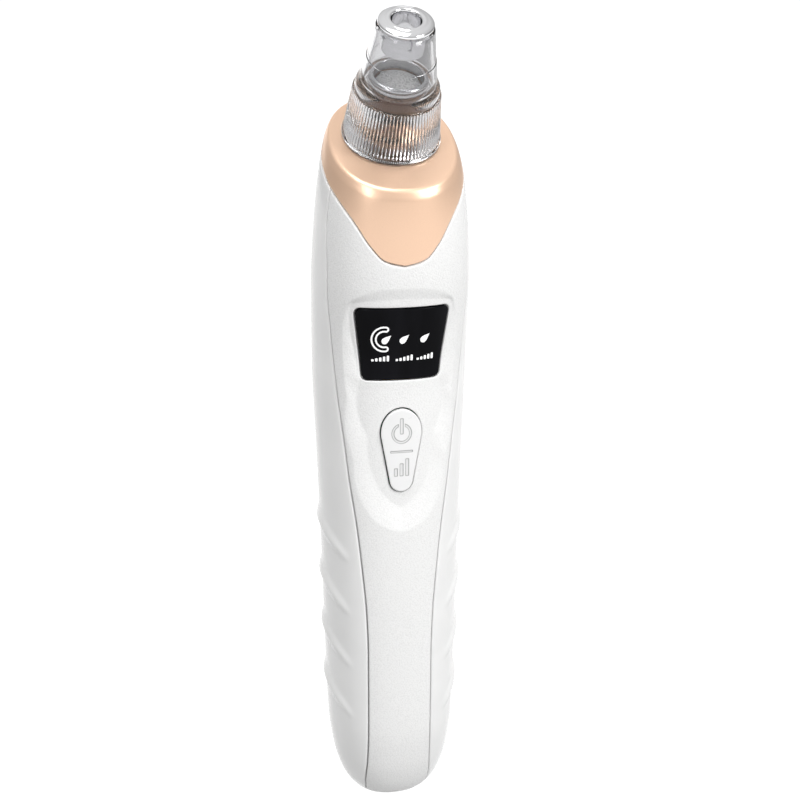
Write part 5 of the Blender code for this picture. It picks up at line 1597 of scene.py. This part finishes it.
# ============================================================ suction end
@dataclass
class ClearTip:
    """Pull-off clear cone with a ribbed skirt, and the chrome mouth set in it."""

    ribs: int = 84
    rib_height: float = 0.3
    rib_span: tuple[float, float] = (1.0, 11.3)
    columns_per_rib: int = 8
    skirt_radius: float = 7.9
    sleeve: float = 4.05
    slot_turn: float = 5.5
    slot_height: float = 23.9
    slot_half: tuple[float, float] = (0.3, 1.2)
    slot_depth: float = 0.45
    mouth_columns: int = 320

    def cone_profile(self) -> np.ndarray:
        """Profile of the clear cone, inside and outside, as one closed chain."""
        corners = (
            (6.65, 0.3, 0.1), (10.15, 0.3, 0.15), (10.2, 0.75, 0.15), (9.75, 1.0, 0.1), (9.55, 2.2, 0.3),
            (8.55, 11.25, 0.15), (8.35, 11.5, 0.1), (8.5, 12.0, 0.3), (8.35, 12.9, 0.5), (7.62, 13.9, 0.6),
            (6.86, 18.75, 0.05), (6.72, 18.85, 0.05), (5.72, 25.45, 0.2), (5.4, 25.7, 0.1),
            (4.35, 25.7, 0.1), (4.35, 25.1, 0.1), (4.9, 24.6, 0.3), (6.1, 17.5, 0.5), (6.65, 14.6, 0.5),
        )
        return rounded_profile(corners, 6)

    def cone_form(self) -> Form:
        """The cone's profile turned, with ribs added to the skirt between two heights.

        Round the skirt a rib stands rib_height |sin(ribs u / 2)|^0.8 proud, and it fades in and out over
        a short stretch at its two ends.

        Returns:
            The closed cone.
        """
        profile = fine_steps(self.cone_profile(), 0.7)
        columns = self.ribs * self.columns_per_rib
        u = full_turn(columns)
        start, end = self.rib_span
        s, r = profile[:, 1:], profile[:, :1]
        window = np.where(r > self.skirt_radius, ease((s - start) / 0.35) * ease((end - s) / 0.12), 0)
        rounds = np.abs(np.sin(self.ribs / 2 * u)) ** 0.8
        return SEAT.turned(profile, columns, self.rib_height * window * rounds)

    def mouth_form(self) -> Form:
        """Chrome mouth: a sleeve with a small upright slot, under a broad rounded lip."""
        corners = (
            (2.9, 20.6, 0.15), (self.sleeve, 20.6, 0.25), (self.sleeve, 25.95, 0.05), (5.25, 25.98, 0.1),
            (5.47, 26.2, 0.15), (5.42, 26.62, 0.3), (4.75, 26.95, 0.5), (4.15, 27.1, 0.4),
            (3.55, 27.32, 0.35), (2.95, 27.1, 0.35), (2.85, 26.4, 0.4),
        )
        profile = fine_steps(rounded_profile(corners, 8), 0.16)
        u = full_turn(self.mouth_columns)
        r, s = profile[:, :1], profile[:, 1:]
        across = (u - math.radians(self.slot_turn)) * self.sleeve
        slot = box_distance(across + 0 * s, s + 0 * u, (0.0, self.slot_height), self.slot_half, 0.25)
        depth = self.slot_depth * ease(-slot / 0.1) * (np.abs(r - self.sleeve) < 0.06)
        return SEAT.turned(profile, self.mouth_columns, -depth)

    def build(self) -> None:
        """Make the cone and its mouth."""
        add_piece("clear_cone", self.cone_form(), CLEAR_TIP, Body.TIP, ("tip_body",), 55.0)
        add_piece("chrome_mouth", self.mouth_form(), CHROME, Body.TIP, ("tip_insert",), 50.0)


@dataclass
class NozzleSeat:
    """Fixed nozzle under the tip, with its O-rings, filter sponge and metal rim."""

    radius: float = 5.8
    bore: float = 4.9
    top: float = 12.7
    ring_levels: tuple[float, float] = (3.4, 7.8)
    ring_section: float = 1.1

    def nozzle_form(self) -> Form:
        """Nozzle with two grooves, a stepped bore, its flange under the collar and the hose spigot.

        Returns:
            The closed form.
        """
        r, g, top = self.radius, self.ring_section * 0.8, self.top
        corners: list[tuple[float, float, float]] = [(r, -2.3, 0.05)]
        for level in self.ring_levels:
            corners += [(r, level - 0.8, 0.1), (r - g, level - 0.8, 0.08), (r - g, level + 0.8, 0.08),
                        (r, level + 0.8, 0.1)]
        corners += [(r, 9.8, 0.05), (r - 0.12, 9.95, 0.05), (r - 0.12, 10.15, 0.05), (r, 10.3, 0.05)]
        b = self.bore
        corners += [(r, top, 0.15), (b, top, 0.1), (b, top - 2.5, 0.1), (b - 1.2, top - 2.5, 0.1),
                    (b - 1.2, 0.6, 0.3), (0.6, -1.4, 0.2), (0.6, -9.0, 0.1), (1.1, -9.0, 0.15),
                    (1.1, -3.9, 0.1), (r + 1.6, -3.9, 0.15), (r + 1.6, -2.3, 0.15)]
        return SEAT.turned(fine_steps(rounded_profile(tuple(corners)), 1.0), 160)

    def ring_form(self, level: float) -> Form:
        """O-ring: a round section turned about the axis."""
        half = self.ring_section / 2
        t = full_turn(24)
        middle = self.radius - self.ring_section * 0.8 + 0.25 + half
        return SEAT.turned(np.stack([middle + half * np.cos(t), level + half * np.sin(t)], axis=-1), 128)

    def build(self) -> None:
        """Make the nozzle and everything on it."""
        add_piece("nozzle", self.nozzle_form(), NOZZLE_BROWN, Body.HANDLE, ("suction_nozzle",),
                  40.0)
        for name, level in zip(("o_ring_lower", "o_ring_upper"), self.ring_levels):
            add_piece(name + "_visual", self.ring_form(level), O_RING, Body.HANDLE, (name,))
        b, r, low = self.bore, self.radius, self.top + 0.3
        rim = ((b, low, 0.05), (r, low, 0.1), (r, low + 1.75, 0.35), (r - 0.45, low + 2.1, 0.3),
               (b, low + 2.1, 0.3))
        add_piece("metal_rim", SEAT.turned(fine_steps(rounded_profile(rim), 0.6), 160), RIM_METAL,
                  Body.HANDLE, ("rim_ring",), 40.0)
        low = self.top - 2.2
        sponge = ((0.0, low, 0.0), (b - 0.3, low, 0.2), (b - 0.3, low + 2.5, 0.4), (2.4, low + 2.8, 1.0),
                  (0.0, low + 2.8, 0.0))
        add_piece("sponge_plug", SEAT.turned(fine_steps(rounded_profile(sponge), 0.5), 96), SPONGE,
                  Body.HANDLE, ("filter_sponge",), 60.0)


# ============================================================ inner works
@dataclass
class InnerWorks:
    """Finishes of the frame nodes that stay as they are, by material slot."""

    finishes: dict[str, Finish] = field(default_factory=lambda: {
        "black_plastic": MouldedPlastic("black_moulded_plastic", (0.02, 0.02, 0.021), 0.42, 0.004, 0.0, 0.15),
        "board_green": CircuitBoard("green_circuit_board"),
        "led": LitInk("warm_lamp_lens", (0.95, 0.9, 0.62), 0.4),
        "steel": BrushedMetal("drawn_steel", (0.62, 0.62, 0.64), 0.25),
        "plunger": MouldedPlastic("ivory_plunger", (0.7, 0.69, 0.64), 0.4, 0.003),
        "frame_grey": MouldedPlastic("grey_frame_plastic", (0.5, 0.5, 0.49), 0.45, 0.004),
        "cell_sleeve": ShrinkSleeve("blue_cell_sleeve"),
        "foam": OpenFoam("black_foam_pad", (0.04, 0.04, 0.042), 0.3),
        "motor_steel": BrushedMetal("zinc_motor_can", (0.66, 0.67, 0.69), 0.3, (1, 1, 0.04)),
        "acetal": MouldedPlastic("natural_acetal", (0.78, 0.78, 0.74), 0.38, 0.003),
        "pump_grey": MouldedPlastic("dark_pump_plastic", (0.09, 0.09, 0.1), 0.4, 0.004, 0.0, 0.1),
        "diaphragm": Rubber("diaphragm_rubber", (0.03, 0.03, 0.03), 0.55),
        "silicone": Rubber("milky_silicone", (0.78, 0.78, 0.76), 0.35, 0.35),
        "ribbon": MouldedPlastic("amber_ribbon", (0.55, 0.3, 0.06), 0.3, 0.002, 0.3, 0.12),
        "wire_red": MouldedPlastic("red_wire_jacket", (0.42, 0.015, 0.012), 0.38, 0.003, 0.0, 0.1),
    })

    def build(self) -> None:
        """Give every frame node that still shows its finish."""
        slots = {part["node"]: part["material_slot"] for part in frame["record"]["subparts"]}
        dressed = 0
        for name, node in frame["nodes"].items():
            finish = self.finishes.get(slots.get(name, ""))
            if node.hide_render or finish is None:
                continue
            node.data.materials.clear()
            node.data.materials.append(finish.material())
            dressed += 1
        LOG.info("inner works: %d nodes dressed", dressed)


# ============================================================ studio
@dataclass
class Studio:
    """Pale floor, soft lights, bright surroundings and the camera."""

    camera_pitch: float = math.radians(16.468)
    camera_turn: float = math.radians(-11.828)
    camera_distance: float = 272.409
    camera_lens: float = 55.87
    aim_side: float = 2.509
    aim_height: float = 95.26
    floor_radius: float = 4000.0
    floor_drop: float = 0.05
    backdrop_glow: float = 1.06
    side_glow: tuple[float, float] = (0.5, 0.3)
    top_glow: tuple[float, float] = (0.0, 0.35)

    def floor(self) -> None:
        """Wide pale disc just under the foot, which throws no soft light back at the device."""
        turn = full_turn(96)
        radius = np.linspace(self.floor_radius, 0, 24)[:, None]
        level = 0 * radius * turn - self.floor_drop
        points = np.stack([radius * np.cos(turn), radius * np.sin(turn), level], axis=-1)
        form = Form.grid(points, wrap_columns=True).welded()[0]
        mesh = form.mesh("studio_floor")
        ground = bpy.data.objects.new("studio_floor", mesh)
        bpy.context.collection.objects.link(ground)
        mesh.materials.append(PaleGround("pale_floor").material())
        ground.visible_diffuse = False

    def light(self, name: str, place: Colour, aim: Colour, size: tuple[float, float], power: float) -> None:
        """Soft rectangular light that points at a place.

        Args:
            name: the lamp's name.
            place: where it stands, in metres.
            aim: the point it faces, in metres.
            size: its width and height in metres.
            power: its power in watts.
        """
        data = bpy.data.lights.new(name, "AREA")
        data.shape, data.size, data.size_y, data.energy = "RECTANGLE", size[0], size[1], power
        lamp = bpy.data.objects.new(name, data)
        bpy.context.collection.objects.link(lamp)
        ahead = np.array(aim) - np.array(place)
        lamp.location = place
        lamp.rotation_mode = "QUATERNION"
        lamp.rotation_quaternion = Vector(ahead).to_track_quat("-Z", "Y")

    def surroundings(self) -> None:
        """Bright world behind the device, and a dimmer one for the light that falls on it.

        The dimmer one adds two glows, each eased from its low to its high value: one by how far a
        direction leans to either side, one by how far it points up.
        """
        world = bpy.data.worlds.new("studio_world")
        bpy.context.scene.world = world
        world.use_nodes = True
        nodes, links = world.node_tree.nodes, world.node_tree.links
        plain = nodes["Background"]
        plain.inputs["Color"].default_value = (1, 1, 1, 1)
        split = nodes.new("ShaderNodeSeparateXYZ")
        links.new(nodes.new("ShaderNodeTexCoord").outputs["Generated"], split.inputs["Vector"])
        total = None
        for axis, low, high in (("X", *self.side_glow), ("Z", *self.top_glow)):
            size = nodes.new("ShaderNodeMath")
            size.operation = "ABSOLUTE" if axis == "X" else "MAXIMUM"
            size.inputs[1].default_value = 0.0
            links.new(split.outputs[axis], size.inputs[0])
            glow = nodes.new("ShaderNodeMapRange")
            glow.interpolation_type = "SMOOTHSTEP"
            glow.inputs["From Min"].default_value = 0.35
            glow.inputs["To Min"].default_value, glow.inputs["To Max"].default_value = low, high
            links.new(size.outputs[0], glow.inputs["Value"])
            if total:
                add = nodes.new("ShaderNodeMath")
                links.new(total, add.inputs[0])
                links.new(glow.outputs["Result"], add.inputs[1])
                links.new(add.outputs[0], plain.inputs["Strength"])
            total = glow.outputs["Result"]
        bright = nodes.new("ShaderNodeBackground")
        bright.inputs["Color"].default_value = (1, 1, 1, 1)
        bright.inputs["Strength"].default_value = self.backdrop_glow
        path, mix = nodes.new("ShaderNodeLightPath"), nodes.new("ShaderNodeMixShader")
        links.new(path.outputs["Is Camera Ray"], mix.inputs["Fac"])
        links.new(plain.outputs["Background"], mix.inputs[1])
        links.new(bright.outputs["Background"], mix.inputs[2])
        links.new(mix.outputs["Shader"], nodes["World Output"].inputs["Surface"])

    def camera(self) -> None:
        """Camera a little above and to the left of the front, looking down at the middle."""
        pitch, turn = self.camera_pitch, self.camera_turn
        right = np.array([math.cos(turn), math.sin(turn), 0])
        back = np.array([math.sin(turn) * math.cos(pitch), -math.cos(turn) * math.cos(pitch),
                         math.sin(pitch)])
        aim = right * self.aim_side + np.array([0, 0, self.aim_height])
        data = bpy.data.cameras.new("camera")
        data.lens, data.sensor_width, data.clip_start, data.clip_end = self.camera_lens, 36.0, 0.01, 20.0
        view = bpy.data.objects.new("camera", data)
        bpy.context.collection.objects.link(view)
        view.location = (aim + back * self.camera_distance) * MM
        view.rotation_mode = "QUATERNION"
        view.rotation_quaternion = Vector(-back).to_track_quat("-Z", "Y")
        bpy.context.scene.camera = view

    def build(self) -> None:
        """Set the stage."""
        bpy.context.scene.view_settings.view_transform = "Standard"
        self.floor()
        self.surroundings()
        self.light("front_softbox", (-0.5, -0.66, 0.5), (0, 0, 0.1), (0.16, 0.5), 1.6)
        self.light("right_softbox", (0.52, -0.55, 0.55), (0, 0, 0.1), (0.25, 0.4), 4.8)
        self.light("top_softbox", (-0.1, -0.25, 0.75), (0, 0, 0.1), (0.4, 0.3), 1.9)
        self.light("back_softbox", (-0.1, 0.6, 0.35), (0, 0, 0.12), (0.6, 0.4), 0.7)
        self.camera()
        LOG.info("studio: floor, four lights and camera")


def main() -> None:
    """Build the device piece by piece and set the stage."""
    logging.basicConfig(level=logging.INFO, format="%(message)s")
    for part in (RearShell(), FrontPanel(), Collar(), DisplayWindow(), RockerButton(), ClearTip(),
                 NozzleSeat(), InnerWorks(), Studio()):
        part.build()


if __name__ == "__main__":
    main()
